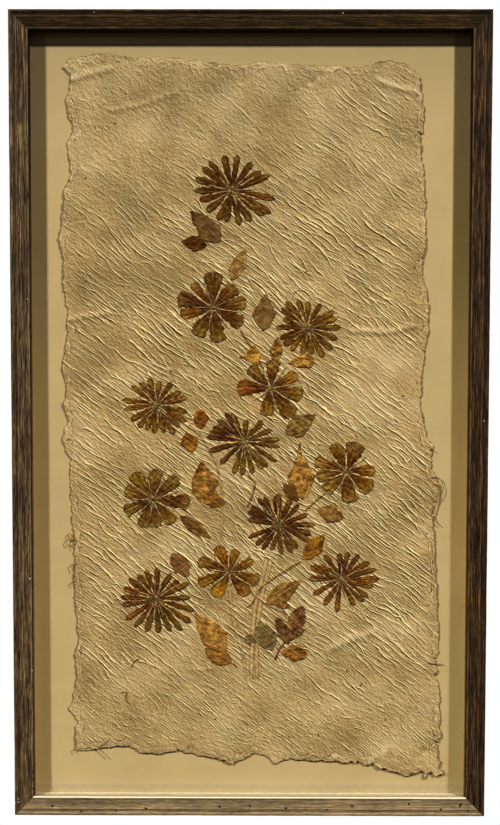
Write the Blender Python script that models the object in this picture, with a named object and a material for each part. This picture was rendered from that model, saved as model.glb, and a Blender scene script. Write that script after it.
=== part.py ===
"""A pressed flower frame: twelve pressed flowers with their leaves and stems on a sheet of
crinkled handmade paper, behind glass in a mitred wooden frame that hangs on a wall.

Metres, +Z up. The front faces -Y. The origin is where the hanger's middle notch rests on the
wall nail, in the plane of the rails' backs. Heights above that plane are called depths here.
"""

import math

import bmesh
import bpy
from mathutils import Vector

MM = 0.001

# The frame's outside and its moulding. A profile point is (inward from the outer edge, depth).
FRAME_WIDTH = 406 * MM
FRAME_HEIGHT = 686 * MM
FRAME_DEPTH = 30 * MM
FACE_WIDTH = 16 * MM
RABBET_INSET = 10.5 * MM
RABBET_DEPTH = 24.5 * MM
LIP_DEPTH = 27.8 * MM
BEAD_WIDTH = 3.2 * MM
GROOVE_END = 5.4 * MM
RIDGE_AT = 6.1 * MM
RIDGE_END = 7.1 * MM
GROOVE_DEPTH = 29.3 * MM

# The stack behind the lip, each as (back, front) depth, with GAP between neighbours
GAP = 0.3 * MM
GLAZING = (22.2 * MM, 24.2 * MM)
SPACER = (17.3 * MM, 21.9 * MM)
MOUNT_BOARD = (15.0 * MM, 17.0 * MM)
BACK_PANEL = (11.7 * MM, 14.7 * MM)
PAPER = (17.3 * MM, 18.1 * MM)
LEAF_LAYER = (18.4 * MM, 18.8 * MM)
STEM_LAYER = (19.1 * MM, 19.5 * MM)
FLOWER_LAYER = (19.8 * MM, 20.3 * MM)
SPACER_EDGE = 16.2 * MM

# Steel points pressed into the rabbet behind the back panel
POINT_LENGTH = 7 * MM
POINT_WIDTH = 9 * MM
POINT_DEPTH = (10.9 * MM, 11.4 * MM)
POINT_SPREAD = 170 * MM

# The sawtooth hanger on the back of the top rail
HANGER_BELOW_TOP = 8 * MM
HANGER_LENGTH = 46 * MM
HANGER_RISE = 6 * MM
HANGER_THICKNESS = 0.9 * MM
HANGER_ARCH = 1.2 * MM
ARCH_FOOT = 17 * MM
ARCH_TOP = 15 * MM
TOOTH_PITCH = 3.5 * MM
TOOTH_DROP = 1.2 * MM
TEETH = 8

# Flowers with narrow petals, in millimetres and degrees: the centre from the frame's middle,
# the petals' width, and each petal's (direction, length)
NARROW_FLOWERS = {
    "daisy_1": ((-15.7, 194.4), 6.3, [
        (20, 35), (34, 30), (55, 30), (80, 31), (103, 31), (127, 32), (142, 32), (161, 33), (179, 32),
        (199, 29), (219, 28), (247, 28), (259, 27), (282, 30), (302, 31), (321, 35), (330, 39), (350, 38)]),
    "daisy_2": ((48.8, 77.9), 5.6, [
        (18, 27), (35, 27), (64, 24), (85, 23), (108, 26), (126, 29), (142, 28), (156, 22), (177, 27),
        (199, 25), (218, 25), (234, 24), (259, 23), (278, 23), (301, 29), (320, 29), (339, 28), (359, 29)]),
    "daisy_3": ((-79.9, 11.2), 4.9, [
        (14, 27), (33, 24), (59, 24), (86, 22), (107, 25), (124, 25), (144, 28), (168, 30), (185, 28),
        (207, 26), (230, 25), (247, 23), (267, 24), (283, 24), (303, 29), (318, 27), (332, 29), (349, 27)]),
    "daisy_4": ((-4.8, -19.4), 5.2, [
        (4, 31), (25, 26), (47, 24), (86, 19), (112, 27), (125, 30), (142, 30), (154, 30), (166, 32),
        (174, 33), (195, 32), (221, 29), (254, 30), (268, 30), (285, 29), (302, 29), (311, 30), (330, 33),
        (350, 31)]),
    "daisy_5": ((25.5, -91.9), 5.0, [
        (3, 31), (21, 26), (45, 25), (68, 25), (90, 28), (99, 26), (120, 28), (127, 30), (145, 30),
        (156, 30), (170, 28), (202, 29), (218, 27), (235, 26), (255, 23), (272, 26), (293, 26), (310, 26),
        (333, 31), (345, 29)]),
    "daisy_6": ((-81.1, -156.6), 5.5, [
        (3, 30), (28, 32), (40, 26), (61, 26), (87, 28), (108, 28), (125, 27), (144, 30), (159, 30),
        (175, 31), (191, 30), (215, 32), (235, 31), (255, 30), (275, 30), (292, 31), (310, 36), (324, 37),
        (343, 35)]),
    "daisy_7": ((79.0, -138.8), 5.3, [
        (17, 32), (35, 29), (55, 27), (78, 25), (93, 23), (123, 26), (145, 23), (158, 29), (179, 28),
        (209, 28), (239, 27), (261, 29), (297, 26), (313, 28), (327, 29), (345, 29), (359, 33)]),
}
DAISY_CORE = 9.0
DAISY_WIDEST = 0.7
DAISY_SHOULDER = 0.9

# Flowers with broad petals: each petal is (direction, length, width)
BROAD_FLOWERS = {
    "broad_flower_1": ((-31.6, 94.8), [
        (8, 29, 11.2), (46, 27, 12.1), (90, 31, 14.7), (130, 28, 7.8), (164, 32, 13), (194, 29, 9.9),
        (240, 28, 13), (280, 30, 13.8), (333, 29, 12.1)]),
    "broad_flower_2": ((17.8, 26.3), [
        (27, 26, 10.8), (85, 25, 11.3), (137, 26, 10.4), (178, 29, 13), (259, 24, 12.1), (306, 31, 13.4),
        (346, 28, 11.7)]),
    "broad_flower_3": ((83.0, -45.6), [
        (6, 25, 10.4), (72, 27, 15.6), (111, 27, 11.3), (159, 29, 10.4), (188, 26, 10.4), (225, 25, 10.4),
        (276, 27, 13), (327, 27, 13)]),
    "broad_flower_4": ((-83.4, -70.2), [
        (43, 29, 11.3), (84, 27, 11.3), (123, 29, 12.2), (162, 26, 11.3), (201, 27, 9.6), (246, 26, 10.5),
        (275, 24, 10.5), (310, 27, 10.5), (356, 32, 13.1)]),
    "broad_flower_5": ((-17.6, -132.6), [
        (24, 23, 8.7), (74, 21, 7.4), (113, 25, 10), (158, 29, 10), (200, 29, 9.6), (241, 25, 10.9),
        (307, 26, 11.4), (341, 27, 10.5)]),
}
BROAD_CORE = 7.0
BROAD_WIDEST = 0.76
BROAD_SHOULDER = 0.93
VALLEY_REACH = 0.8

# Leaves, each a list of lobes (tip, base, width), in millimetres from the frame's middle
LEAVES = [
    [((-50.1, 176.1), (-25.5, 151.3), 17.4)],
    [((-57.8, 151.3), (-37.2, 148.3), 12.6)],
    [((-4.4, 144.5), (-15.6, 118.8), 12.2)],
    [((12.9, 105.1), (11.2, 75.8), 18.2)],
    [((-6.1, 63.6), (6.8, 48.5), 15.6)],
    [((23.7, 69.1), (21.6, 49.0), 10.0)],
    [((52.8, 49.9), (32.4, 47.5), 11.7)],
    [((-42.6, 8.3), (-42.0, -9.1), 12.6)],
    [((54.3, 1.9), (31.3, -15.1), 16.5)],
    [((-54.6, -12.3), (-48.6, -28.3), 13.6)],
    [((-41.6, -36.5), (-34.7, -70.3), 20.0), ((-21.8, -74.5), (-41.0, -66.0), 11.3)],
    [((43.5, -27.2), (44.5, -68.2), 20.0)],
    [((80.3, -85.7), (58.5, -77.8), 14.8)],
    [((-60.1, -84.2), (-34.2, -103.0), 10.4)],
    [((64.7, -99.7), (47.3, -121.3), 13.9)],
    [((-67.0, -116.6), (-53.0, -136.8), 14.8)],
    [((41.7, -141.9), (16.4, -160.7), 13.0), ((34.8, -163.5), (16.4, -157.6), 5.8)],
    [((-46.1, -172.7), (-21.5, -200.6), 17.4), ((-37.4, -207.5), (-12.3, -214.2), 14.8)],
    [((46.3, -162.2), (35.2, -188.2), 14.8), ((23.7, -172.0), (33.8, -195.4), 10.4),
     ((47.6, -182.5), (29.8, -192.6), 7.8)],
    [((6.9, -182.2), (19.6, -202.0), 15.6)],
    [((50.0, -204.6), (27.7, -202.5), 14.8)],
]
LEAF_STATIONS = (0.1, 0.27, 0.48, 0.7, 0.9)
LEAF_TIP_POWER = 0.9

# Stalks that belong to the two leaf sprigs: leaf number, width, line
SPRIG_STALKS = {
    18: (2.2, [(-27.5, -193.1), (-23.2, -202.0), (-17.2, -209.0), (-10.7, -216.6)]),
    19: (2.0, [(32.7, -188.4), (29.6, -195.4), (25.7, -200.2), (22.0, -210.0)]),
}

# Stems: width and the line from the flower down, with any side branch
STEMS = {
    "stem_1": (3.4, [(14.2, -117.4), (11.6, -136.7), (10.7, -149.9), (8.1, -164.0), (2.6, -181.7),
                     (0.8, -203.0), (1.6, -228.7)]),
    "stem_2": (3.2, [(19.8, -119.1), (18.2, -141.1), (16.1, -151.7), (12.9, -165.8), (8.0, -181.7),
                     (6.2, -203.0), (6.8, -228.7)]),
    "stem_3": (2.6, [(-17.7, -139.4), (-16.8, -155.3), (-14.1, -174.7), (-10.2, -189.7), (-5.5, -205.1),
                     (-2.6, -228.7)]),
    "stem_4": (2.6, [(-54.6, -3.0), (-38.5, -19.5), (-28.6, -38.3), (-26.0, -51.8), (-23.9, -62.2),
                     (-23.9, -84.1), (-24.7, -106.0)]),
    "stem_5": (1.4, [(65.4, -63.8), (61.1, -67.3), (53.3, -73.8), (47.4, -79.9)]),
    "stem_6": (1.4, [(-8.7, 76.6), (0.0, 63.1), (6.9, 52.5), (12.7, 40.9), (16.3, 30.9)]),
    "stem_7": (1.4, [(-2.5, -48.2), (4.9, -55.2), (2.3, -65.7), (-2.5, -77.1)]),
}
SIDE_BRANCH = ("stem_2", 1.6, [(47.3, -120.8), (32.5, -127.9), (24.2, -135.6), (17.8, -146.0)])

# The torn edge of the paper, clockwise from its top left, in millimetres
PAPER_EDGE = [
    (-154, 307), (-133, 311), (-116, 312), (-99, 307), (-77, 309), (-56, 307), (-35, 304), (-9, 302),
    (16, 305), (37, 302), (55, 302), (75, 301), (95, 300), (107, 304), (118, 306), (128, 304), (136, 301),
    (145, 292), (146, 281), (149, 260), (146, 231), (150, 197), (151, 150), (148, 128), (154, 98),
    (154, 77), (151, 55), (148, 29), (147, 8), (151, -1), (154, -17), (159, -23), (158, -44), (166, -58),
    (164, -78), (159, -88), (161, -101), (162, -132), (164, -167), (166, -194), (164, -216), (166, -247),
    (168, -278), (169, -312), (158, -313), (150, -309), (137, -316), (119, -309), (106, -305), (88, -302),
    (71, -300), (44, -301), (25, -303), (15, -298), (5, -294), (-7, -300), (-15, -304), (-24, -300),
    (-39, -297), (-63, -292), (-79, -296), (-96, -294), (-105, -288), (-132, -290), (-153, -291),
    (-153, -274), (-151, -266), (-159, -255), (-156, -248), (-151, -225), (-153, -208), (-150, -194),
    (-152, -168), (-154, -141), (-154, -124), (-159, -102), (-155, -89), (-156, -62), (-156, -36),
    (-163, -19), (-158, 1), (-161, 9), (-159, 29), (-163, 42), (-158, 68), (-158, 94), (-161, 111),
    (-161, 137), (-165, 154), (-161, 175), (-160, 194), (-154, 209), (-157, 235), (-152, 247), (-158, 269),
    (-155, 281), (-153, 294), (-160, 300),
]

# Colours as seen, in eight-bit sRGB
WOOD_COLOUR = (84, 67, 46)
CREAM_COLOUR = (222, 205, 170)
PAPER_COLOUR = (206, 176, 120)
PANEL_COLOUR = (120, 88, 58)
STEEL_COLOUR = (150, 150, 148)
BRASS_COLOUR = (176, 145, 82)
STEM_COLOUR = (176, 138, 92)
FLOWER_COLOURS = {
    "daisy_1": (80, 52, 20), "daisy_2": (105, 70, 40), "daisy_3": (110, 70, 20), "daisy_4": (80, 50, 25),
    "daisy_5": (70, 36, 22), "daisy_6": (85, 55, 15), "daisy_7": (100, 60, 30),
    "broad_flower_1": (90, 55, 15), "broad_flower_2": (125, 80, 20), "broad_flower_3": (110, 70, 20),
    "broad_flower_4": (100, 75, 30), "broad_flower_5": (130, 85, 15),
}
LEAF_COLOURS = [
    (105, 75, 40), (80, 45, 10), (165, 125, 75), (140, 105, 60), (185, 130, 55), (140, 100, 40),
    (175, 130, 55), (150, 95, 25), (130, 100, 50), (155, 100, 25), (165, 110, 30), (200, 145, 40),
    (150, 110, 55), (135, 95, 35), (165, 110, 25), (150, 90, 35), (165, 125, 65), (160, 105, 35),
    (125, 88, 45), (110, 90, 50), (160, 110, 45),
]


def linear(colour):
    """Eight-bit sRGB as Blender's linear RGBA."""
    channels = [c / 255 for c in colour]
    return [c / 12.92 if c <= 0.04045 else ((c + 0.055) / 1.055) ** 2.4 for c in channels] + [1.0]


def add_object(name, mesh_builder, colour, roughness=0.7, metallic=0.0, transmission=0.0):
    """Turn a bmesh into a named child of the frame's middle, with a material of its own."""
    bmesh.ops.recalc_face_normals(mesh_builder, faces=mesh_builder.faces[:])
    mesh = bpy.data.meshes.new(name)
    mesh_builder.to_mesh(mesh)
    mesh_builder.free()
    finish = bpy.data.materials.new(name)
    finish.use_nodes = True
    shader = finish.node_tree.nodes["Principled BSDF"]
    shader.inputs["Base Color"].default_value = linear(colour)
    shader.inputs["Roughness"].default_value = roughness
    shader.inputs["Metallic"].default_value = metallic
    shader.inputs["Transmission Weight"].default_value = transmission
    mesh.materials.append(finish)
    piece = bpy.data.objects.new(name, mesh)
    bpy.context.scene.collection.objects.link(piece)
    piece.parent = frame_middle
    return piece


def slab(outline, depths):
    """A flat solid: an outline of (x, z) in metres from the frame's middle, between two depths."""
    back, front = depths
    builder = bmesh.new()
    corners = [builder.verts.new((x, -back, z)) for x, z in outline]
    face = builder.faces.new(corners)
    swept = bmesh.ops.extrude_face_region(builder, geom=[face])["geom"]
    moved = [item for item in swept if isinstance(item, bmesh.types.BMVert)]
    bmesh.ops.translate(builder, verts=moved, vec=(0, back - front, 0))
    return builder


def rectangle(left, bottom, right, top):
    return [(left, bottom), (right, bottom), (right, top), (left, top)]


def in_metres(outline):
    return [(x * MM, z * MM) for x, z in outline]


def rail(name, length, reach, turn):
    """A rail of the moulding with mitred ends, its outer face `reach` from the frame's middle."""
    profile = [
        (0, 0), (0, 28.8 * MM), (0.8 * MM, 29.6 * MM), (2.4 * MM, FRAME_DEPTH),
        (BEAD_WIDTH, GROOVE_DEPTH), (GROOVE_END, GROOVE_DEPTH), (RIDGE_AT, GROOVE_DEPTH + 0.5 * MM),
        (RIDGE_END, GROOVE_DEPTH + 0.1 * MM), (FACE_WIDTH - 1.2 * MM, LIP_DEPTH + 0.5 * MM),
        (FACE_WIDTH, LIP_DEPTH), (FACE_WIDTH, RABBET_DEPTH), (RABBET_INSET, RABBET_DEPTH),
        (RABBET_INSET, 0),
    ]
    mitre_gap = GAP / 2 * math.sqrt(2)
    builder = bmesh.new()
    start = [builder.verts.new((0, -depth, reach - inward)) for inward, depth in profile]
    face = builder.faces.new(start)
    swept = bmesh.ops.extrude_face_region(builder, geom=[face])["geom"]
    end = [item for item in swept if isinstance(item, bmesh.types.BMVert)]
    for vert in start + end:
        inward = reach - vert.co.z
        side = 1 if vert in end else -1
        vert.co.x = side * (length / 2 - inward - mitre_gap)
    wood = add_object(name, builder, WOOD_COLOUR, roughness=0.55)
    wood.rotation_euler = (0, math.radians(turn), 0)


def add_rails():
    half_width, half_height = FRAME_WIDTH / 2, FRAME_HEIGHT / 2
    rail("rail_top", FRAME_WIDTH, half_height, 0)
    rail("rail_right", FRAME_HEIGHT, half_width, 90)
    rail("rail_bottom", FRAME_WIDTH, half_height, 180)
    rail("rail_left", FRAME_HEIGHT, half_width, -90)


def add_stack():
    """The sheets that lie in the rabbet, and the strips that hold the glazing off the paper."""
    x = FRAME_WIDTH / 2 - RABBET_INSET - GAP
    z = FRAME_HEIGHT / 2 - RABBET_INSET - GAP
    sheet = rectangle(-x, -z, x, z)
    add_object("glazing", slab(sheet, GLAZING), (235, 240, 236), roughness=0.05, transmission=1.0)
    add_object("mount_board", slab(sheet, MOUNT_BOARD), CREAM_COLOUR, roughness=0.9)
    add_object("back_panel", slab(sheet, BACK_PANEL), PANEL_COLOUR, roughness=0.8)

    edge_x = FRAME_WIDTH / 2 - SPACER_EDGE
    edge_z = FRAME_HEIGHT / 2 - SPACER_EDGE
    strips = {
        "spacer_left": rectangle(-x, -z, -edge_x, z),
        "spacer_right": rectangle(edge_x, -z, x, z),
        "spacer_top": rectangle(GAP - edge_x, edge_z, edge_x - GAP, z),
        "spacer_bottom": rectangle(GAP - edge_x, -z, edge_x - GAP, -edge_z),
    }
    for name, outline in strips.items():
        add_object(name, slab(outline, SPACER), CREAM_COLOUR, roughness=0.9)


def add_points():
    """Flat steel points that stand out of the rabbet's wall over the back panel."""
    wall_x = FRAME_WIDTH / 2 - RABBET_INSET - GAP
    wall_z = FRAME_HEIGHT / 2 - RABBET_INSET - GAP
    half = POINT_WIDTH / 2
    places = [
        ("point_top", (0, wall_z), (0, -1)), ("point_bottom", (0, -wall_z), (0, 1)),
        ("point_left_upper", (-wall_x, POINT_SPREAD), (1, 0)),
        ("point_left_lower", (-wall_x, -POINT_SPREAD), (1, 0)),
        ("point_right_upper", (wall_x, POINT_SPREAD), (-1, 0)),
        ("point_right_lower", (wall_x, -POINT_SPREAD), (-1, 0)),
    ]
    for name, foot, inward in places:
        foot = Vector(foot)
        inward = Vector(inward)
        along = Vector((-inward.y, inward.x))
        outline = [foot - along * half, foot + along * half,
                   foot + along * half * 0.25 + inward * POINT_LENGTH,
                   foot - along * half * 0.25 + inward * POINT_LENGTH]
        add_object(name, slab(outline, POINT_DEPTH), STEEL_COLOUR, roughness=0.35, metallic=1.0)


def add_hanger():
    """A stamped strip with flat feet, an arched middle and a row of teeth along its lower edge."""
    notch = FRAME_HEIGHT / 2 - HANGER_BELOW_TOP
    top = notch + HANGER_RISE
    teeth_end = TEETH * TOOTH_PITCH / 2
    lower = [(-HANGER_LENGTH / 2, notch)]
    for tooth in range(TEETH):
        left = tooth * TOOTH_PITCH - teeth_end
        lower += [(left, notch), (left + TOOTH_PITCH / 2, notch - TOOTH_DROP)]
    lower += [(teeth_end, notch), (HANGER_LENGTH / 2, notch)]
    outline = lower + [(HANGER_LENGTH / 2, top), (-HANGER_LENGTH / 2, top)]
    builder = slab(outline, (-GAP, -GAP - HANGER_THICKNESS))
    for cut in (-ARCH_FOOT, -ARCH_TOP, ARCH_TOP, ARCH_FOOT):
        geometry = builder.verts[:] + builder.edges[:] + builder.faces[:]
        bmesh.ops.bisect_plane(builder, geom=geometry, plane_co=(cut, 0, 0), plane_no=(1, 0, 0))
    for vert in builder.verts:
        if abs(vert.co.x) < (ARCH_FOOT + ARCH_TOP) / 2:
            vert.co.y += HANGER_ARCH
    add_object("sawtooth_hanger", builder, BRASS_COLOUR, roughness=0.4, metallic=1.0)


def flower_outline(centre, petals, core, widest, shoulder):
    """Walk round a flower, petal by petal, with a valley wherever two neighbours meet.

    A petal is (direction in degrees, length, width). No petal crosses the line halfway to its
    neighbour, so the outline never crosses itself.
    """
    petals = sorted(petals)
    count = len(petals)
    outline = []
    for number, (direction, length, width) in enumerate(petals):
        after = petals[(number + 1) % count]
        before = petals[number - 1]
        to_next = (after[0] - direction) % 360
        to_last = (direction - before[0]) % 360
        stations = [(widest, -1.0), (shoulder, -0.72), (1.0, 0.0), (shoulder, 0.72), (widest, 1.0)]
        for along, across in stations:
            offset = math.degrees(math.atan2(across * width / 2, along * length))
            limit = 0.42 * (to_next if across > 0 else to_last)
            offset = max(-limit, min(limit, offset))
            outline.append((direction + offset, along * length))
        spread = math.radians(to_next)
        meeting = (width + after[2]) / 2 / spread
        valley = min(max(core, meeting), VALLEY_REACH * widest * min(length, after[1]))
        outline.append((direction + to_next / 2, valley))
    return [(centre[0] + radius * math.cos(math.radians(angle)),
             centre[1] + radius * math.sin(math.radians(angle))) for angle, radius in outline]


def add_flowers():
    for name, (centre, width, petals) in NARROW_FLOWERS.items():
        sized = [(direction, length, width) for direction, length in petals]
        outline = flower_outline(centre, sized, DAISY_CORE, DAISY_WIDEST, DAISY_SHOULDER)
        add_object(name, slab(in_metres(outline), FLOWER_LAYER), FLOWER_COLOURS[name])
    for name, (centre, petals) in BROAD_FLOWERS.items():
        outline = flower_outline(centre, petals, BROAD_CORE, BROAD_WIDEST, BROAD_SHOULDER)
        add_object(name, slab(in_metres(outline), FLOWER_LAYER), FLOWER_COLOURS[name])


def leaf_outline(tip, base, width):
    """A leaf's blade from its tip round to its base and back."""
    tip, base = Vector(tip), Vector(base)
    side = (base - tip).normalized().orthogonal()
    right, left = [], []
    for station in LEAF_STATIONS:
        half = width / 2 * math.sin(math.pi * station ** LEAF_TIP_POWER)
        middle = tip.lerp(base, station)
        right.append(middle + side * half)
        left.append(middle - side * half)
    return [tip] + right + [base] + left[::-1]


def ribbon_outline(line, width):
    """A strip of even width along a line of points."""
    points = [Vector(point) for point in line]
    right, left = [], []
    for number, point in enumerate(points):
        ahead = points[min(number + 1, len(points) - 1)]
        behind = points[max(number - 1, 0)]
        side = (ahead - behind).normalized().orthogonal()
        right.append(point + side * width / 2)
        left.append(point - side * width / 2)
    return right + left[::-1]


def grow_together(piece, others):
    """Join overlapping parts of one leaf or stem into its first part's solid."""
    for number, outline_and_layer in enumerate(others):
        guide = add_object(f"{piece.name}_branch_{number + 1}", slab(*outline_and_layer), STEM_COLOUR)
        guide.hide_render = True
        guide.display_type = "WIRE"
        joint = piece.modifiers.new("Grown together", "BOOLEAN")
        joint.operation = "UNION"
        joint.solver = "EXACT"
        joint.object = guide


def add_leaves():
    for number, (lobes, colour) in enumerate(zip(LEAVES, LEAF_COLOURS), start=1):
        outlines = [in_metres(leaf_outline(*lobe)) for lobe in lobes]
        if number in SPRIG_STALKS:
            width, line = SPRIG_STALKS[number]
            outlines.append(in_metres(ribbon_outline(line, width)))
        leaf = add_object(f"leaf_{number:02d}", slab(outlines[0], LEAF_LAYER), colour)
        grow_together(leaf, [(outline, LEAF_LAYER) for outline in outlines[1:]])


def add_stems():
    branch_of, branch_width, branch_line = SIDE_BRANCH
    for name, (width, line) in STEMS.items():
        outline = in_metres(ribbon_outline(line, width))
        stem = add_object(name, slab(outline, STEM_LAYER), STEM_COLOUR)
        if name == branch_of:
            branch = in_metres(ribbon_outline(branch_line, branch_width))
            grow_together(stem, [(branch, STEM_LAYER)])


for leftover in list(bpy.data.objects):
    bpy.data.objects.remove(leftover)

frame_middle = bpy.data.objects.new("frame_middle", None)
frame_middle.location = (0, 0, HANGER_BELOW_TOP - FRAME_HEIGHT / 2)
bpy.context.scene.collection.objects.link(frame_middle)

add_rails()
add_stack()
add_points()
add_hanger()
add_object("handmade_paper", slab(in_metres(PAPER_EDGE), PAPER), PAPER_COLOUR, roughness=0.85)
add_flowers()
add_leaves()
add_stems()
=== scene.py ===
"""The looks of a pressed flower frame: weathered rails, glass, cream board, and dried flowers
glued to a sheet of crinkled handmade paper. Metres, +Z up, with the front towards -Y."""

import math

import bmesh
import bpy
import numpy as np
from mathutils import Matrix, Vector


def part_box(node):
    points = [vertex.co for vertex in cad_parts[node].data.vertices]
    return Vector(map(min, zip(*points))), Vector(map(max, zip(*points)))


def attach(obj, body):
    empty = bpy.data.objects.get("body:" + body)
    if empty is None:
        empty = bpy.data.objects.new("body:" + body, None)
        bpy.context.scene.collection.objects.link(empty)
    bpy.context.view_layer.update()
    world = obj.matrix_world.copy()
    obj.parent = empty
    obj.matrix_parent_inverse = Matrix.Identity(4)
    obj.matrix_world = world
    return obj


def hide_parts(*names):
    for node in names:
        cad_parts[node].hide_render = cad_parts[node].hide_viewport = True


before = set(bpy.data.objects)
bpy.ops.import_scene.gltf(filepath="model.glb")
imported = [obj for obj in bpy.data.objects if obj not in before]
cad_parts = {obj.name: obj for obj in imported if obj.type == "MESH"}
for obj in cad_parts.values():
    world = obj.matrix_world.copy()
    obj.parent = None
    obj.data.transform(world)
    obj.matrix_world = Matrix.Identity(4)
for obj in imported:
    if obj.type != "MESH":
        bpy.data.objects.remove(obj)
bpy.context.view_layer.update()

# ---------------------------------------------------------------------------------------------
# The view: a camera straight in front, a little above the frame's middle, two soft lamps high on
# the left and right, a third lamp behind for the back, and a plain pale floor well below.
# ---------------------------------------------------------------------------------------------
MM = 0.001
top_low, top_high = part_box("rail_top")
bottom_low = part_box("rail_bottom")[0]
FRONT = top_low[1]
MIDDLE_Z = (top_high[2] + bottom_low[2]) / 2
CAMERA_FROM_MIDDLE = Vector((2.58 * MM, -765.26 * MM, 35.33 * MM))
TARGET_FROM_MIDDLE = Vector((0.10 * MM, 0, 5.85 * MM))
CAMERA_ROLL = 0.0013
LENS = 39.39
SENSOR_WIDTH = 36
KEY_DIRECTION = (1.26, -1.0, 1.06)
KEY_STRENGTH = 2.76
KEY_WIDTH = math.radians(4.5)
BACK_DIRECTION = (-0.5, 1.0, 0.7)
BACK_STRENGTH = 2.9
BACK_WIDTH = math.radians(30)
ROOM_GLOW = 0.1
ROOM_COLOUR = (1.0, 0.95, 0.86, 1)
VIEW_GAMMA = 0.66
FLOOR_DROP = 0.67
FLOOR_SIZE = 2.4

scene = bpy.context.scene
scene.view_settings.view_transform = "Standard"
scene.view_settings.gamma = VIEW_GAMMA

front_middle = Vector((0, FRONT, MIDDLE_Z))
eye = bpy.data.objects.new("photo_view", bpy.data.cameras.new("photo_view"))
eye.data.lens = LENS
eye.data.sensor_width = SENSOR_WIDTH
eye.location = front_middle + CAMERA_FROM_MIDDLE
look = TARGET_FROM_MIDDLE - CAMERA_FROM_MIDDLE
turn = look.to_track_quat("-Z", "Y").to_matrix().to_4x4() @ Matrix.Rotation(CAMERA_ROLL, 4, "Z")
eye.rotation_euler = turn.to_euler()
scene.collection.objects.link(eye)
scene.camera = eye


def lamp(name, towards, strength, width):
    """A distant soft lamp that stands in the given direction, seen from the frame."""
    light = bpy.data.lights.new(name, "SUN")
    light.energy = strength
    light.angle = width
    holder = bpy.data.objects.new(name, light)
    holder.rotation_euler = Vector(towards).to_track_quat("Z", "Y").to_euler()
    scene.collection.objects.link(holder)


lamp("lamp_right", KEY_DIRECTION, KEY_STRENGTH, KEY_WIDTH)
lamp("lamp_left", (-KEY_DIRECTION[0], KEY_DIRECTION[1], KEY_DIRECTION[2]), KEY_STRENGTH, KEY_WIDTH)
lamp("lamp_behind", BACK_DIRECTION, BACK_STRENGTH, BACK_WIDTH)

room = bpy.data.worlds.new("pale_room")
room.use_nodes = True
scene.world = room
air = room.node_tree
glow = air.nodes["Background"]
glow.inputs["Strength"].default_value = ROOM_GLOW
glow.inputs["Color"].default_value = ROOM_COLOUR
white = air.nodes.new("ShaderNodeBackground")
white.inputs["Color"].default_value = (1, 1, 1, 1)
rays = air.nodes.new("ShaderNodeLightPath")
choose = air.nodes.new("ShaderNodeMixShader")
air.links.new(rays.outputs["Is Camera Ray"], choose.inputs[0])
air.links.new(glow.outputs[0], choose.inputs[1])
air.links.new(white.outputs[0], choose.inputs[2])
air.links.new(choose.outputs[0], air.nodes["World Output"].inputs["Surface"])


def seen(*colour):
    """The surface colour that shows as this eight-bit sRGB colour in full light."""
    channels = [(c / 255) ** VIEW_GAMMA for c in colour]
    return [c / 12.92 if c <= 0.04045 else ((c + 0.055) / 1.055) ** 2.4 for c in channels] + [1.0]


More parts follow.
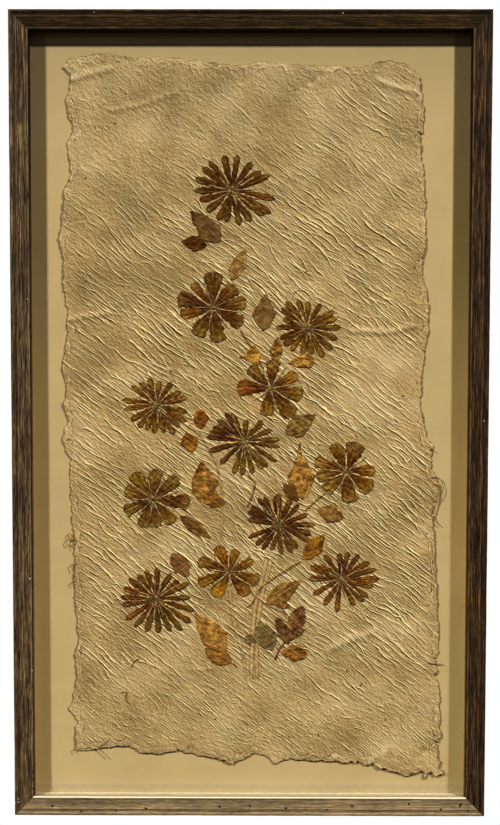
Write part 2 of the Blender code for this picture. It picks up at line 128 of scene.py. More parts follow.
class Finish:
    """A material with its Principled shader, and short ways to add the nodes that feed it."""

    def __init__(self, name, roughness=0.6, metallic=0.0, gloss=0.5):
        self.material = bpy.data.materials.new(name)
        self.material.use_nodes = True
        self.tree = self.material.node_tree
        self.shader = self.tree.nodes["Principled BSDF"]
        self.shader.inputs["Roughness"].default_value = roughness
        self.shader.inputs["Metallic"].default_value = metallic
        self.shader.inputs["Specular IOR Level"].default_value = gloss
        self.place = self.tree.nodes.new("ShaderNodeTexCoord").outputs["Object"]

    def add(self, kind, **inputs):
        """Add a node. An input's value is another node's output or a plain value."""
        node = self.tree.nodes.new(kind)
        for key, value in inputs.items():
            socket = node.inputs[key.replace("_", " ")]
            self.feed(socket, value)
        return node

    def feed(self, socket, value):
        if isinstance(value, bpy.types.NodeSocket):
            self.tree.links.new(value, socket)
        else:
            socket.default_value = value

    def mapped(self, scale=(1, 1, 1), turn=(0, 0, 0), source=None, shift=(0, 0, 0)):
        """Object coordinates turned, shifted, then scaled: a pattern's own directions."""
        turned = self.add("ShaderNodeMapping", Vector=source or self.place, Rotation=turn, Location=shift)
        return self.add("ShaderNodeMapping", Vector=turned.outputs[0], Scale=scale).outputs[0]

    def noise(self, vector, scale, detail=3.0, roughness=0.55, kind="FBM", bend=0.0):
        node = self.add("ShaderNodeTexNoise", Vector=vector, Scale=scale, Detail=detail,
                        Roughness=roughness, Distortion=bend)
        node.noise_type = kind
        return node.outputs["Fac"]

    def ramp(self, factor, *stops):
        """Colours by factor: each stop is (position, linear colour)."""
        node = self.add("ShaderNodeValToRGB", Fac=factor)
        band = node.color_ramp.elements
        while len(band) < len(stops):
            band.new(0.5)
        for element, (position, colour) in zip(band, stops):
            element.position = position
            element.color = colour
        return node.outputs["Color"]

    def grey(self, factor, *stops):
        return self.ramp(factor, *[(position, (v, v, v, 1)) for position, v in stops])

    def blend(self, factor, first, second, mode="MIX"):
        node = self.tree.nodes.new("ShaderNodeMix")
        node.data_type = "RGBA"
        node.blend_type = mode
        self.feed(node.inputs["Factor"], factor)
        self.feed(node.inputs[6], first)
        self.feed(node.inputs[7], second)
        return node.outputs[2]

    def math(self, operation, first, second=0.0):
        node = self.tree.nodes.new("ShaderNodeMath")
        node.operation = operation
        self.feed(node.inputs[0], first)
        self.feed(node.inputs[1], second)
        return node.outputs[0]

    def vector(self, operation, first, second=(0, 0, 0)):
        node = self.tree.nodes.new("ShaderNodeVectorMath")
        node.operation = operation
        self.feed(node.inputs[0], first)
        if operation != "FRACTION":
            self.feed(node.inputs[1], second)
        return node.outputs["Value" if operation == "DOT_PRODUCT" else "Vector"]

    def height(self, low, high):
        """0 at `low` and 1 at `high`, both in millimetres above the frame's middle."""
        up = self.add("ShaderNodeSeparateXYZ", Vector=self.place).outputs["Z"]
        return self.add("ShaderNodeMapRange", Value=up, From_Min=MIDDLE_Z + low * MM,
                        From_Max=MIDDLE_Z + high * MM).outputs[0]

    def attribute(self, name, output="Fac"):
        node = self.tree.nodes.new("ShaderNodeAttribute")
        node.attribute_name = name
        return node.outputs[output]

    def colour(self, value):
        self.feed(self.shader.inputs["Base Color"], value)

    def roughen(self, value):
        self.feed(self.shader.inputs["Roughness"], value)

    def bump(self, *layers):
        """Stack bumps: each layer is (height, depth in metres, strength)."""
        normal = None
        for height, depth, strength in layers:
            node = self.add("ShaderNodeBump", Height=height, Distance=depth, Strength=strength)
            if normal:
                self.tree.links.new(normal, node.inputs["Normal"])
            normal = node.outputs[0]
        self.tree.links.new(normal, self.shader.inputs["Normal"])


def make_piece(name, builder, finish, slot, *nodes):
    """Turn a bmesh into a piece that rides with the frame and stands for the given CAD nodes."""
    mesh = bpy.data.meshes.new(name)
    builder.to_mesh(mesh)
    builder.free()
    mesh.materials.append(finish.material)
    mesh.shade_smooth()
    piece = bpy.data.objects.new(name, mesh)
    scene.collection.objects.link(piece)
    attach(piece, "root")
    if nodes:
        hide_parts(*nodes)
    return piece


floor_builder = bmesh.new()
bmesh.ops.create_grid(floor_builder, x_segments=1, y_segments=1, size=FLOOR_SIZE / 2)
floor_mesh = bpy.data.meshes.new("floor")
floor_builder.to_mesh(floor_mesh)
floor_builder.free()
floor = bpy.data.objects.new("floor", floor_mesh)
floor.location.z = bottom_low[2] - FLOOR_DROP
floor_finish = Finish("pale_floor", roughness=0.8)
floor_finish.colour(floor_finish.ramp(floor_finish.noise(floor_finish.place, 3.0),
                                      (0.3, seen(226, 224, 220)), (0.7, seen(234, 232, 228))))
floor_mesh.materials.append(floor_finish.material)
scene.collection.objects.link(floor)
floor.visible_diffuse = False

# ---------------------------------------------------------------------------------------------
# The rails: four lengths of narrow moulding in old brown-stained softwood, mitred and glued at
# the corners. The grain stands proud and the arrises are worn. Each rail's tones hold painted
# light and shade for how the lamps above fall on it, palest on the bottom rail; the grooves hold
# painted shade, and the bottom rail a painted highlight along its lip.
# ---------------------------------------------------------------------------------------------
FRAME_DEPTH = -top_low[1]
FACE_WIDTH = 16 * MM
RABBET_DEPTH = 24.5 * MM
MITRE_GAP = 0.1 * MM
RAIL_STEP = 2.5 * MM
GRAIN_DEPTH = 0.22 * MM
CHIP_DEPTH = 0.9 * MM
# How far in from the outer edge the parts of the face lie
OUTER_ARRIS = 0.6 * MM
GROOVE = 4.1 * MM
BEAD = 6.1 * MM
INNER_DIP = 14.0 * MM
INNER_ARRIS = 15.6 * MM
# The moulding's section: how far in from the outer edge and how far forward of the wall, in
# millimetres
MOULDING = [
    (0, 0), (0, 10), (0, 20), (0, 26), (0, 28.6), (0.25, 29.2), (0.7, 29.6), (1.3, 29.85), (1.9, 29.9),
    (2.5, 29.75), (2.9, 29.4), (3.2, 29.15), (3.7, 29.1), (4.2, 29.12), (4.7, 29.15), (5.2, 29.2),
    (5.6, 29.55), (6.1, 29.7), (6.6, 29.5), (7.0, 29.25), (7.5, 29.3), (8.1, 29.3), (8.7, 29.22),
    (9.3, 29.15), (9.9, 29.08), (10.5, 29.0), (11.1, 28.92), (11.7, 28.85), (12.3, 28.78),
    (12.9, 28.7), (13.5, 28.6), (14.0, 28.35), (14.4, 28.4), (14.9, 28.45), (15.4, 28.3), (15.8, 28.05),
    (16.0, 27.7), (16.0, 26.8), (16.0, 25.6), (16.0, 24.5), (10.5, 24.5), (10.5, 12), (10.5, 0),
]
# Rail: node, how far it is turned from the top rail's place, seed, how dark its lip is made (0
# where it is rubbed pale), and its wood's dark, middle and pale tones, which hold painted light
# and shade: palest on the bottom rail, which faces up to the lamps, darker on the top and right
RAILS = [
    ("rail_top", 0, 3, 0.35, (22, 13, 4), (46, 32, 13), (80, 58, 26)),
    ("rail_right", 90, 5, 0.8, (17, 8, 4), (48, 32, 17), (104, 76, 44)),
    ("rail_bottom", 180, 7, 0.0, (104, 84, 56), (135, 114, 80), (164, 143, 104)),
    ("rail_left", -90, 9, 0.8, (26, 15, 8), (76, 58, 36), (140, 116, 80)),
]


def swell(across, along, seed):
    """Smooth random hills between about -1 and 1, a unit apart in both directions."""
    angles = np.random.default_rng(seed).uniform(0, 2 * math.pi, (128, 128))
    column = np.floor(across).astype(int)
    row = np.floor(along).astype(int)
    x = across - column
    y = along - row
    fade_x = x ** 3 * (x * (6 * x - 15) + 10)
    fade_y = y ** 3 * (y * (6 * y - 15) + 10)
    total = np.zeros(np.shape(across))
    for right in (0, 1):
        for up in (0, 1):
            angle = angles[(column + right) % 128, (row + up) % 128]
            weight = (fade_x if right else 1 - fade_x) * (fade_y if up else 1 - fade_y)
            total += weight * (np.cos(angle) * (x - right) + np.sin(angle) * (y - up))
    return 1.5 * total


def mound(value, middle, width):
    """1 at the middle, about a third one width away from it, and soon 0 past that."""
    return np.exp(-((value - middle) / width) ** 2)


def points_of(mesh):
    flat = np.empty(len(mesh.vertices) * 3)
    mesh.vertices.foreach_get("co", flat)
    return flat.reshape(-1, 3)


def set_points(mesh, points):
    mesh.vertices.foreach_set("co", points.ravel())
    mesh.update()


def store(mesh, name, values):
    """Keep a number for each vertex, for the material to read."""
    attribute = mesh.attributes.new(name, "FLOAT", "POINT")
    attribute.data.foreach_set("value", values.astype(np.float32))


def wood_finish(name, along_x, dark, middle, pale):
    """Stained softwood: broad bands, fine streaks along the rail, and dark open pores."""
    wood = Finish(name, roughness=0.55, gloss=0.2)

    def grain(run, girth, detail):
        stretch = (run, girth, girth) if along_x else (girth, girth, run)
        return wood.noise(wood.mapped(stretch), 1.0, detail=detail, roughness=0.62)

    bands, streaks, pores = grain(7, 420, 3.0), grain(40, 1700, 5.0), grain(150, 3000, 3.0)
    clouds = wood.noise(wood.place, 38.0, detail=2.0)
    stained = wood.ramp(streaks, (0.35, seen(*dark)), (0.5, seen(*middle)), (0.66, seen(*pale)))
    # The bottom rail's pale tones are painted light from the lamps above; its grain marks are weakened to
    # suit them
    painted_pale_rail = sum(dark) > 150
    strength = 0.6 if painted_pale_rail else 1.0
    for mask in (wood.grey(bands, (0.32, 0.74), (0.5, 1.0), (0.7, 1.25)),
                 wood.grey(pores, (0.36, 0.35), (0.5, 1.0), (0.7, 1.7)),
                 wood.ramp(clouds, (0.3, (0.8, 0.78, 0.8, 1)), (0.7, (1.2, 1.17, 1.08, 1)))):
        stained = wood.blend(strength, stained, mask, "MULTIPLY")
    stained = wood.blend(wood.attribute("wear"), stained, seen(168, 146, 108))
    # A painted highlight along the bottom rail's lip, then painted shade in the grooves and the bottom rail's
    # hollows, and the other rails' lips darkened
    stained = wood.blend(wood.attribute("glare"), stained, seen(255, 250, 214))
    wood.colour(wood.blend(wood.attribute("painted_shade_and_dark_lip"), stained, seen(18, 10, 6)))
    wood.roughen(wood.grey(streaks, (0.3, 0.7), (0.7, 0.5)))
    wood.bump((bands, 0.4 * MM, 0.5), (streaks, 0.4 * MM, 0.7), (pores, 0.15 * MM, 0.6))
    return wood


def add_rail(node, turn, seed, lip_darkness, *tones):
    level = turn in (0, 180)
    frame_width = top_high[0] - top_low[0]
    frame_height = top_high[2] - bottom_low[2]
    length, reach = (frame_width, frame_height / 2) if level else (frame_height, frame_width / 2)
    builder = bmesh.new()
    corners = [builder.verts.new((0, -depth * MM, -inward * MM)) for inward, depth in MOULDING]
    face = builder.faces.new(corners)
    swept = bmesh.ops.extrude_face_region(builder, geom=[face])["geom"]
    far = [item for item in swept if isinstance(item, bmesh.types.BMVert)]
    bmesh.ops.translate(builder, verts=far, vec=(1, 0, 0))
    long_edges = [edge for edge in builder.edges if abs(edge.verts[0].co.x - edge.verts[1].co.x) > 0.5]
    bmesh.ops.subdivide_edges(builder, edges=long_edges, cuts=int(length / RAIL_STEP))
    bmesh.ops.recalc_face_normals(builder, faces=builder.faces[:])
    finish = wood_finish(node + "_wood", level, *tones)
    rail = make_piece(node + "_moulding", builder, finish, "rail_wood", node)

    points = points_of(rail.data)
    inward = -points[:, 2]
    depth = -points[:, 1]
    half = length / 2 - inward - MITRE_GAP
    along = (2 * points[:, 0] - 1) * half
    girth = np.where(inward < 0.1 * MM, depth - FRAME_DEPTH, inward) / MM
    girth = np.where(depth < RABBET_DEPTH - 1 * MM, girth + 40, girth)
    shown = np.clip((depth - 2 * MM) / (6 * MM), 0, 1)
    ridges = swell(girth / 0.9, along / (22 * MM), seed)
    ridges += 0.6 * swell(girth / 0.5, along / (9 * MM), seed + 1)
    wander = swell(girth / 5, along / (60 * MM), seed + 2)
    wear = np.clip(swell(girth / 3 + 7, along / (7 * MM), seed + 3) - 0.55, 0, 1)
    arris = mound(inward, OUTER_ARRIS, 0.9 * MM) + mound(inward, INNER_ARRIS, 0.8 * MM)
    drop = GRAIN_DEPTH * (0.5 * ridges + 0.4 * wander) - CHIP_DEPTH * wear * arris
    drop = np.minimum(drop, 0.1 * MM) * shown
    face_drop = np.where(inward > 0.05 * MM, drop, 0)
    side_drop = np.where(inward <= OUTER_ARRIS, drop, 0)
    lip = inward > FACE_WIDTH - 0.05 * MM
    shaped = np.column_stack([along, -(depth + np.where(lip, 0, face_drop)),
                              reach - inward + np.minimum(side_drop, 0) - np.where(lip, face_drop, 0)])
    angle = math.radians(turn)
    x = shaped[:, 0] * math.cos(angle) + shaped[:, 2] * math.sin(angle)
    z = -shaped[:, 0] * math.sin(angle) + shaped[:, 2] * math.cos(angle)
    set_points(rail.data, np.column_stack([x, shaped[:, 1], z + MIDDLE_Z]))
    rail.data.set_sharp_from_angle(angle=math.radians(50))
    # Painted shade in the groove, and the lip's inner side darkened on all but the bottom rail
    groove = mound(inward, GROOVE, 0.8 * MM) * shown
    painted_shade_and_dark_lip = (0.6 if lip_darkness else 0.3) * groove + np.where(lip, lip_darkness, 0)
    glare = np.zeros(len(inward))
    # On the bottom rail, which faces up to the lamps: a painted highlight along the lip's arris, and painted
    # shade in the dip inside it and over the inner half of its face
    if not lip_darkness:
        glare = mound(inward, INNER_ARRIS + 0.15 * MM, 0.65 * MM) * np.where(lip, 0, 1)
        painted_shade_and_dark_lip += 0.55 * mound(inward, INNER_DIP, 0.6 * MM)
        painted_shade_and_dark_lip += 0.2 * mound(inward, INNER_DIP - 3 * MM, 3 * MM) * np.clip(1 + wander, 0, 1.5)
    broken = 0.5 + 0.6 * swell(girth / 2, along / (13 * MM), seed + 4)
    edges = 1.5 * mound(inward, INNER_ARRIS - 0.1 * MM, 0.45 * MM) + 0.7 * mound(inward, BEAD, 0.4 * MM)
    rubbed = 0.5 * np.clip(edges * broken, 0, 1) * shown + 0.9 * np.clip(2 * wear * arris, 0, 1)
    store(rail.data, "wear", np.where(lip, 0 if lip_darkness else 0.8, rubbed))
    store(rail.data, "painted_shade_and_dark_lip", np.clip(painted_shade_and_dark_lip, 0, 1))
    store(rail.data, "glare", glare * shown)


for rail_parts in RAILS:
    add_rail(*rail_parts)

# ---------------------------------------------------------------------------------------------
# The glazing: a clear 2 mm sheet of float glass behind the lip. Only what the camera sees is
# bent by it, and light goes straight through, so the lamps reach what lies behind.
# ---------------------------------------------------------------------------------------------
glass = Finish("clear_glass", roughness=0.02)
glass.shader.inputs["Transmission Weight"].default_value = 1.0
glass.shader.inputs["IOR"].default_value = 1.45
glass.colour(glass.ramp(glass.noise(glass.place, 30.0), (0.3, (0.97, 0.99, 0.975, 1)),
                        (0.7, (1.0, 1.0, 1.0, 1))))
glass_rays = glass.tree.nodes.new("ShaderNodeLightPath").outputs
unbent = glass.math("MAXIMUM", glass_rays["Is Shadow Ray"], glass_rays["Is Diffuse Ray"])
unbent = glass.math("MAXIMUM", unbent, glass_rays["Is Glossy Ray"])
see_through = glass.tree.nodes.new("ShaderNodeBsdfTransparent")
glass_mix = glass.tree.nodes.new("ShaderNodeMixShader")
glass.tree.links.new(unbent, glass_mix.inputs[0])
glass.tree.links.new(glass.shader.outputs[0], glass_mix.inputs[1])
glass.tree.links.new(see_through.outputs[0], glass_mix.inputs[2])
glass.tree.links.new(glass_mix.outputs[0], glass.tree.nodes["Material Output"].inputs["Surface"])


def dress(node, finish):
    """Give a CAD node whose shape is right its finish."""
    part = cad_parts[node]
    for material_slot in part.material_slots:
        material_slot.material = finish.material
    if not part.material_slots:
        part.data.materials.append(finish.material)


dress("glazing", glass)

# ---------------------------------------------------------------------------------------------
# The cream board and its spacer strips: matt paper-faced board, slightly mottled, with the odd
# speck, and painted light and shade where the rails' shadows fall on it. The strips keep the glass
# off the paper, the top and side ones painted dark as in shade; the brown hardboard closes the back.
# ---------------------------------------------------------------------------------------------
CREAM = seen(196, 168, 110)
CREAM_DEEP = seen(188, 160, 103)
SPECK = seen(110, 84, 48)
# Heights in millimetres above the frame's middle: the upper part with painted shade from the top
# rail, the span that the side margins' painted shades run over, the foot with painted bounce light
# and corner shade, and the band of painted light and shade inside the top rail's shadow
TOP_RAIL_SHADE_SPAN = (250, 328)
MARGIN_SPAN = (-240, 253)
FOOT_BOUNCE_LIGHT_SPAN = (-323, -313)
TOP_SHADOW_PAINT_SPAN = (317.5, 325.5)
# The board's side margins, where the rails' shadows fall, with painted light and shade that darkens
# towards the top: where each starts, and what its colour is multiplied by at parts of that span
MARGINS = [
    (-173.6, [(0.0, (1.06, 1.0, 0.88)), (0.26, (1.03, 0.95, 0.79)), (0.52, (0.92, 0.86, 0.71)),
              (0.78, (0.7, 0.65, 0.57)), (1.0, (0.71, 0.67, 0.66))]),
    (172.3, [(0.0, (1.2, 1.21, 1.06)), (0.26, (1.26, 1.17, 1.0)), (0.52, (1.06, 1.01, 0.81)),
             (0.78, (0.7, 0.66, 0.5)), (1.0, (0.66, 0.62, 0.53))]),
]

cream = Finish("cream_board", roughness=0.85)
mottle = cream.noise(cream.place, 24.0, detail=4.0)
fleck = cream.noise(cream.place, 420.0, detail=1.0)
fibre = cream.noise(cream.mapped((900, 900, 260)), 1.0, detail=2.0)
card = cream.ramp(mottle, (0.3, CREAM_DEEP), (0.7, CREAM))
card = cream.blend(cream.grey(fibre, (0.3, 0.0), (0.7, 0.1)), card, seen(214, 188, 132))
# Painted shade on the board's upper part, below the top rail
card = cream.blend(cream.math("MULTIPLY", cream.height(*TOP_RAIL_SHADE_SPAN), 0.8), card, seen(166, 144, 98))
card = cream.blend(cream.grey(fleck, (0.79, 0.0), (0.83, 0.7)), card, SPECK)
board_x = cream.add("ShaderNodeSeparateXYZ", Vector=cream.place).outputs["X"]
board_height = cream.height(*MARGIN_SPAN)
# Painted light and shade on the side margins where the rails' shadows fall: lighter near the foot, darker
# towards the top
for edge_x, margin_shades in MARGINS:
    shades = cream.ramp(board_height, *[(at, (*shade, 1)) for at, shade in margin_shades])
    beyond = cream.add("ShaderNodeMapRange", Value=board_x, From_Min=edge_x * MM,
                       From_Max=edge_x * 1.004 * MM).outputs[0]
    card = cream.blend(beyond, card, cream.blend(1.0, card, shades, "MULTIPLY"))
# Painted bounce light just above the board's foot, cooler and lighter, and painted shade in the corner at the
# very foot
foot = cream.ramp(cream.height(*FOOT_BOUNCE_LIGHT_SPAN), (0.0, (0.86, 0.9, 1.04, 1)), (0.25, (0.92, 0.95, 1.08, 1)),
                  (0.45, (1.0, 1.03, 1.13, 1)), (1.0, (1, 1, 1, 1)))
card = cream.blend(1.0, card, foot, "MULTIPLY")
# Painted light in the top rail's shadow on the board, lightest at its lower edge, turning to painted shade
# near the lip
top_shadow_paint = cream.ramp(cream.height(*TOP_SHADOW_PAINT_SPAN), (0.0, (1.8, 1.8, 1.7, 1)), (0.55, (1.7, 1.7, 1.35, 1)),
                   (1.0, (0.92, 0.83, 0.45, 1)))
in_top_shadow_paint = cream.height(TOP_SHADOW_PAINT_SPAN[0] - 0.3, TOP_SHADOW_PAINT_SPAN[0] + 0.3)
card = cream.blend(in_top_shadow_paint, card, cream.blend(1.0, card, top_shadow_paint, "MULTIPLY"))
cream.colour(card)
cream.bump((fibre, 0.05 * MM, 0.4), (mottle, 0.4 * MM, 0.25))
dress("mount_board", cream)

pale_card = Finish("pale_spacer_card", roughness=0.8, gloss=0.2)
pale_fibre = pale_card.noise(pale_card.mapped((200, 900, 900)), 1.0, detail=3.0)
pale_card.colour(pale_card.ramp(pale_fibre, (0.3, seen(187, 168, 129)), (0.7, seen(214, 201, 168))))
pale_card.bump((pale_fibre, 0.06 * MM, 0.4))
dress("spacer_bottom", pale_card)

# The top and side strips: painted shade, darkest on the top strip, which faces down
shaded_spacer = Finish("spacer_card", roughness=0.85, gloss=0.2)
smudge = shaded_spacer.noise(shaded_spacer.place, 60.0, detail=4.0)
spacer_shade = shaded_spacer.ramp(shaded_spacer.height(-250, 270), (0.0, seen(114, 87, 42)), (0.45, seen(96, 72, 35)),
                 (1.0, seen(36, 22, 6)))
shaded_spacer.colour(shaded_spacer.blend(1.0, spacer_shade, shaded_spacer.grey(smudge, (0.3, 0.85), (0.7, 1.2)), "MULTIPLY"))
shaded_spacer.bump((shaded_spacer.noise(shaded_spacer.place, 1500.0), 0.05 * MM, 0.4))
for node in ("spacer_top", "spacer_right", "spacer_left"):
    dress(node, shaded_spacer)

hardboard = Finish("hardboard", roughness=0.75)
felted = hardboard.noise(hardboard.place, 700.0, detail=3.0)
patches = hardboard.noise(hardboard.place, 9.0, detail=3.0)
eighth_turn = (0, 0.785, 0)
weave = hardboard.add("ShaderNodeTexWave", Vector=hardboard.mapped((1, 1, 1), eighth_turn),
                      Scale=160.0, Distortion=0.6).outputs["Fac"]
brown = hardboard.ramp(patches, (0.3, seen(98, 68, 42)), (0.7, seen(124, 88, 54)))
brown = hardboard.blend(hardboard.grey(felted, (0.35, 0.0), (0.75, 0.6)), brown, seen(158, 122, 82))
hardboard.colour(hardboard.blend(hardboard.grey(weave, (0.1, 0.35), (0.6, 0.0)), brown, seen(70, 46, 28)))
hardboard.bump((felted, 0.12 * MM, 0.5), (weave, 0.1 * MM, 0.35))
dress("back_panel", hardboard)

# ---------------------------------------------------------------------------------------------
# The fixings: flat steel framer's points in the rabbet, and a stamped sawtooth hanger in brass
# plate, held on the top rail by two small round-headed pins.
# ---------------------------------------------------------------------------------------------
POINTS = ("point_top", "point_bottom", "point_left_upper", "point_left_lower", "point_right_upper",
          "point_right_lower")
POINT_BEVEL = 0.15 * MM
HANGER_BEVEL = 0.12 * MM
PIN_FROM_MIDDLE = 19.8 * MM
PIN_BACK = 1.2 * MM
PIN_RISE = 0.6 * MM
PIN_RADIUS = 1.3 * MM
PIN_FLATNESS = 0.5

steel = Finish("point_steel", roughness=0.38, metallic=1.0)
scuffs = steel.noise(steel.mapped((60, 400, 900)), 1.0, detail=3.0)
steel.colour(steel.ramp(scuffs, (0.3, (0.30, 0.29, 0.27, 1)), (0.7, (0.46, 0.45, 0.43, 1))))
steel.roughen(steel.grey(scuffs, (0.3, 0.32), (0.7, 0.52)))
steel.bump((scuffs, 0.05 * MM, 0.4))

brass = Finish("hanger_brass", roughness=0.3, metallic=1.0)
tarnish = brass.noise(brass.place, 260.0, detail=4.0)
brass.colour(brass.ramp(tarnish, (0.32, (0.24, 0.15, 0.05, 1)), (0.6, (0.52, 0.36, 0.13, 1))))
brass.roughen(brass.grey(tarnish, (0.3, 0.5), (0.7, 0.27)))
brass.bump((tarnish, 0.04 * MM, 0.4))


def eased_copy(node, bevel_width):
    """A CAD node's shape with its sharp edges eased."""
    copy = bmesh.new()
    copy.from_mesh(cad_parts[node].data)
    bmesh.ops.remove_doubles(copy, verts=copy.verts, dist=0.01 * MM)
    bmesh.ops.dissolve_limit(copy, angle_limit=math.radians(2), verts=copy.verts, edges=copy.edges)
    bmesh.ops.bevel(copy, geom=copy.edges[:], offset=bevel_width, segments=2, profile=0.5,
                    affect="EDGES", material=-1)
    return copy


for node in POINTS:
    make_piece(node + "_plate", eased_copy(node, POINT_BEVEL), steel, "point_steel", node)

hanger = eased_copy("sawtooth_hanger", HANGER_BEVEL)
hanger_low, hanger_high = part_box("sawtooth_hanger")
pin_height = (hanger_low[2] + hanger_high[2]) / 2 + PIN_RISE
for side in (-1, 1):
    head = Matrix.Translation((side * PIN_FROM_MIDDLE, PIN_BACK, pin_height))
    flat = Matrix.Diagonal((1, PIN_FLATNESS, 1, 1))
    bmesh.ops.create_icosphere(hanger, subdivisions=3, radius=PIN_RADIUS, matrix=head @ flat)
make_piece("sawtooth_hanger_plate", hanger, brass, "hanger_brass", "sawtooth_hanger")

# ---------------------------------------------------------------------------------------------
# The handmade paper: a thin tan sheet with a torn, curled edge, pulled into long diagonal
# creases as its glue dried. Everything pressed on it follows the same creases.
# ---------------------------------------------------------------------------------------------
# Levels in millimetres forward of the wall: the board's face, the sheet's mean level and its
# back. The sheet is nowhere thinner than PAPER_THICKNESS
board_front = -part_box("mount_board")[0][1] / MM
PAPER_LEVEL = board_front + 1.3
PAPER_BACK = board_front + 0.3
PAPER_THICKNESS = 0.12
CREASE_SLOPE = math.radians(38)
# Families of folds: slope down to the right in degrees, spacing, rise and length of run in
# millimetres, and how rare they are. Those with a short run make the small crumples
FOLDS = [
    (38, 3.9, 0.46, 36, -0.12), (33, 5.6, 0.42, 28, 0.0), (44, 4.9, 0.40, 24, 0.02),
    (40, 2.1, 0.20, 8, 0.0), (19, 3.7, 0.20, 6, 0.15), (-44, 7.5, 0.16, 6, 0.4),
]
SHORT_RUN = 10
# Single creases: points on each, its half width and its rise (under 0: a dent)
SINGLE_CREASES = [
    ([(-154, 85), (-143, 88), (-120, 91)], 1.6, 0.9), ([(70, -199), (89, -190), (107, -184)], 2.4, 0.7),
    ([(158, -152), (153, -161), (149, -172), (146, -182)], 0.9, 0.9), ([(155, -160), (162, -159)], 0.8, 0.6),
    ([(104, -300), (122, -286)], 1.6, 0.7), ([(139, -303), (145, -295), (153, -287)], 1.5, -0.6),
    ([(-50, -217), (-42, -218), (-30, -215)], 1.1, 0.6), ([(-152, 288), (-138, 293), (-118, 298)], 2.2, 0.7),
    ([(36, 278), (48, 284), (65, 295)], 0.9, -0.6), ([(107, 288), (121, 282), (140, 278)], 1.8, 0.7),
    ([(86, 76), (120, 75), (141, 81)], 1.8, 0.8), ([(-120, 262), (-90, 268), (-62, 278)], 1.4, 0.6),
]
# The mesh's cells across and along the long creases, and the band of finer cells at the torn edge
CELL_ACROSS = 0.76
CELL_ALONG = 3.3
RIM_BAND = 3.5
# How strong the folds are at each height from the frame's middle
VIGOUR = [
    (-310, 0.1), (-270, 0.16), (-240, 0.4), (-215, 0.85), (-190, 1.1), (-60, 1.25), (60, 1.2),
    (130, 0.95), (190, 0.72), (240, 0.56), (310, 0.5),
]
# The lower end of the sheet, where only the small crumples gain strength, and by how much
CRUMPLED_FOOT = (220, 260)
FOOT_CRUMPLES = 1.3
# The torn edge, clockwise from the upper left. It was traced where the board lies, and the sheet
# lies nearer the eye, so it's drawn in by this ratio about the point in front of the camera
TRACE_CENTRE = (2.6, 35.3)
TRACE_RATIO = 0.9932
PAPER_EDGE = [
    (-154, 307), (-133, 311), (-116, 312), (-99, 307), (-77, 309), (-56, 307), (-35, 304), (-9, 302),
    (16, 305), (37, 302), (55, 302), (75, 301), (95, 300), (107, 304), (118, 306), (128, 304), (136, 301),
    (145, 292), (146, 281), (149, 260), (146, 231), (150, 197), (151, 150), (148, 128), (154, 98),
    (154, 77), (151, 55), (148, 29), (147, 8), (151, -1), (154, -17), (159, -23), (158, -44), (166, -58),
    (164, -78), (159, -88), (161, -101), (162, -132), (164, -167), (166, -194), (164, -216), (166, -247),
    (168, -278), (165, -288), (165, -299), (168, -301), (167, -305), (165, -307), (170, -309), (170, -313),
    (163, -314), (159, -310), (156, -312), (153, -317), (153, -312), (151, -310), (147, -311), (145, -313),
    (139, -315), (133, -313), (128, -310), (123, -311), (120, -308), (115, -308), (108, -303), (103, -305),
    (95, -301), (93, -304), (90, -301), (83, -303), (76, -301), (59, -301), (44, -300), (37, -300),
    (27, -301), (22, -303), (17, -298), (10, -296), (5, -295), (-7, -300), (-15, -304), (-24, -300),
    (-39, -297), (-63, -292), (-79, -296), (-96, -294), (-105, -288), (-132, -290), (-153, -291),
    (-153, -274), (-151, -266), (-159, -255), (-156, -248), (-151, -225), (-153, -208), (-150, -194),
    (-152, -168), (-153.5, -141), (-152.5, -124), (-153, -102), (-155, -89), (-156, -62), (-156, -36),
    (-163, -19), (-158, 1), (-161, 9), (-159, 29), (-163, 42), (-158, 68), (-158, 94), (-161, 111),
    (-161, 137), (-165, 154), (-161, 175), (-160, 194), (-154, 209), (-157, 235), (-152, 247), (-158, 269),
    (-155, 281), (-153, 294), (-160, 300),
]

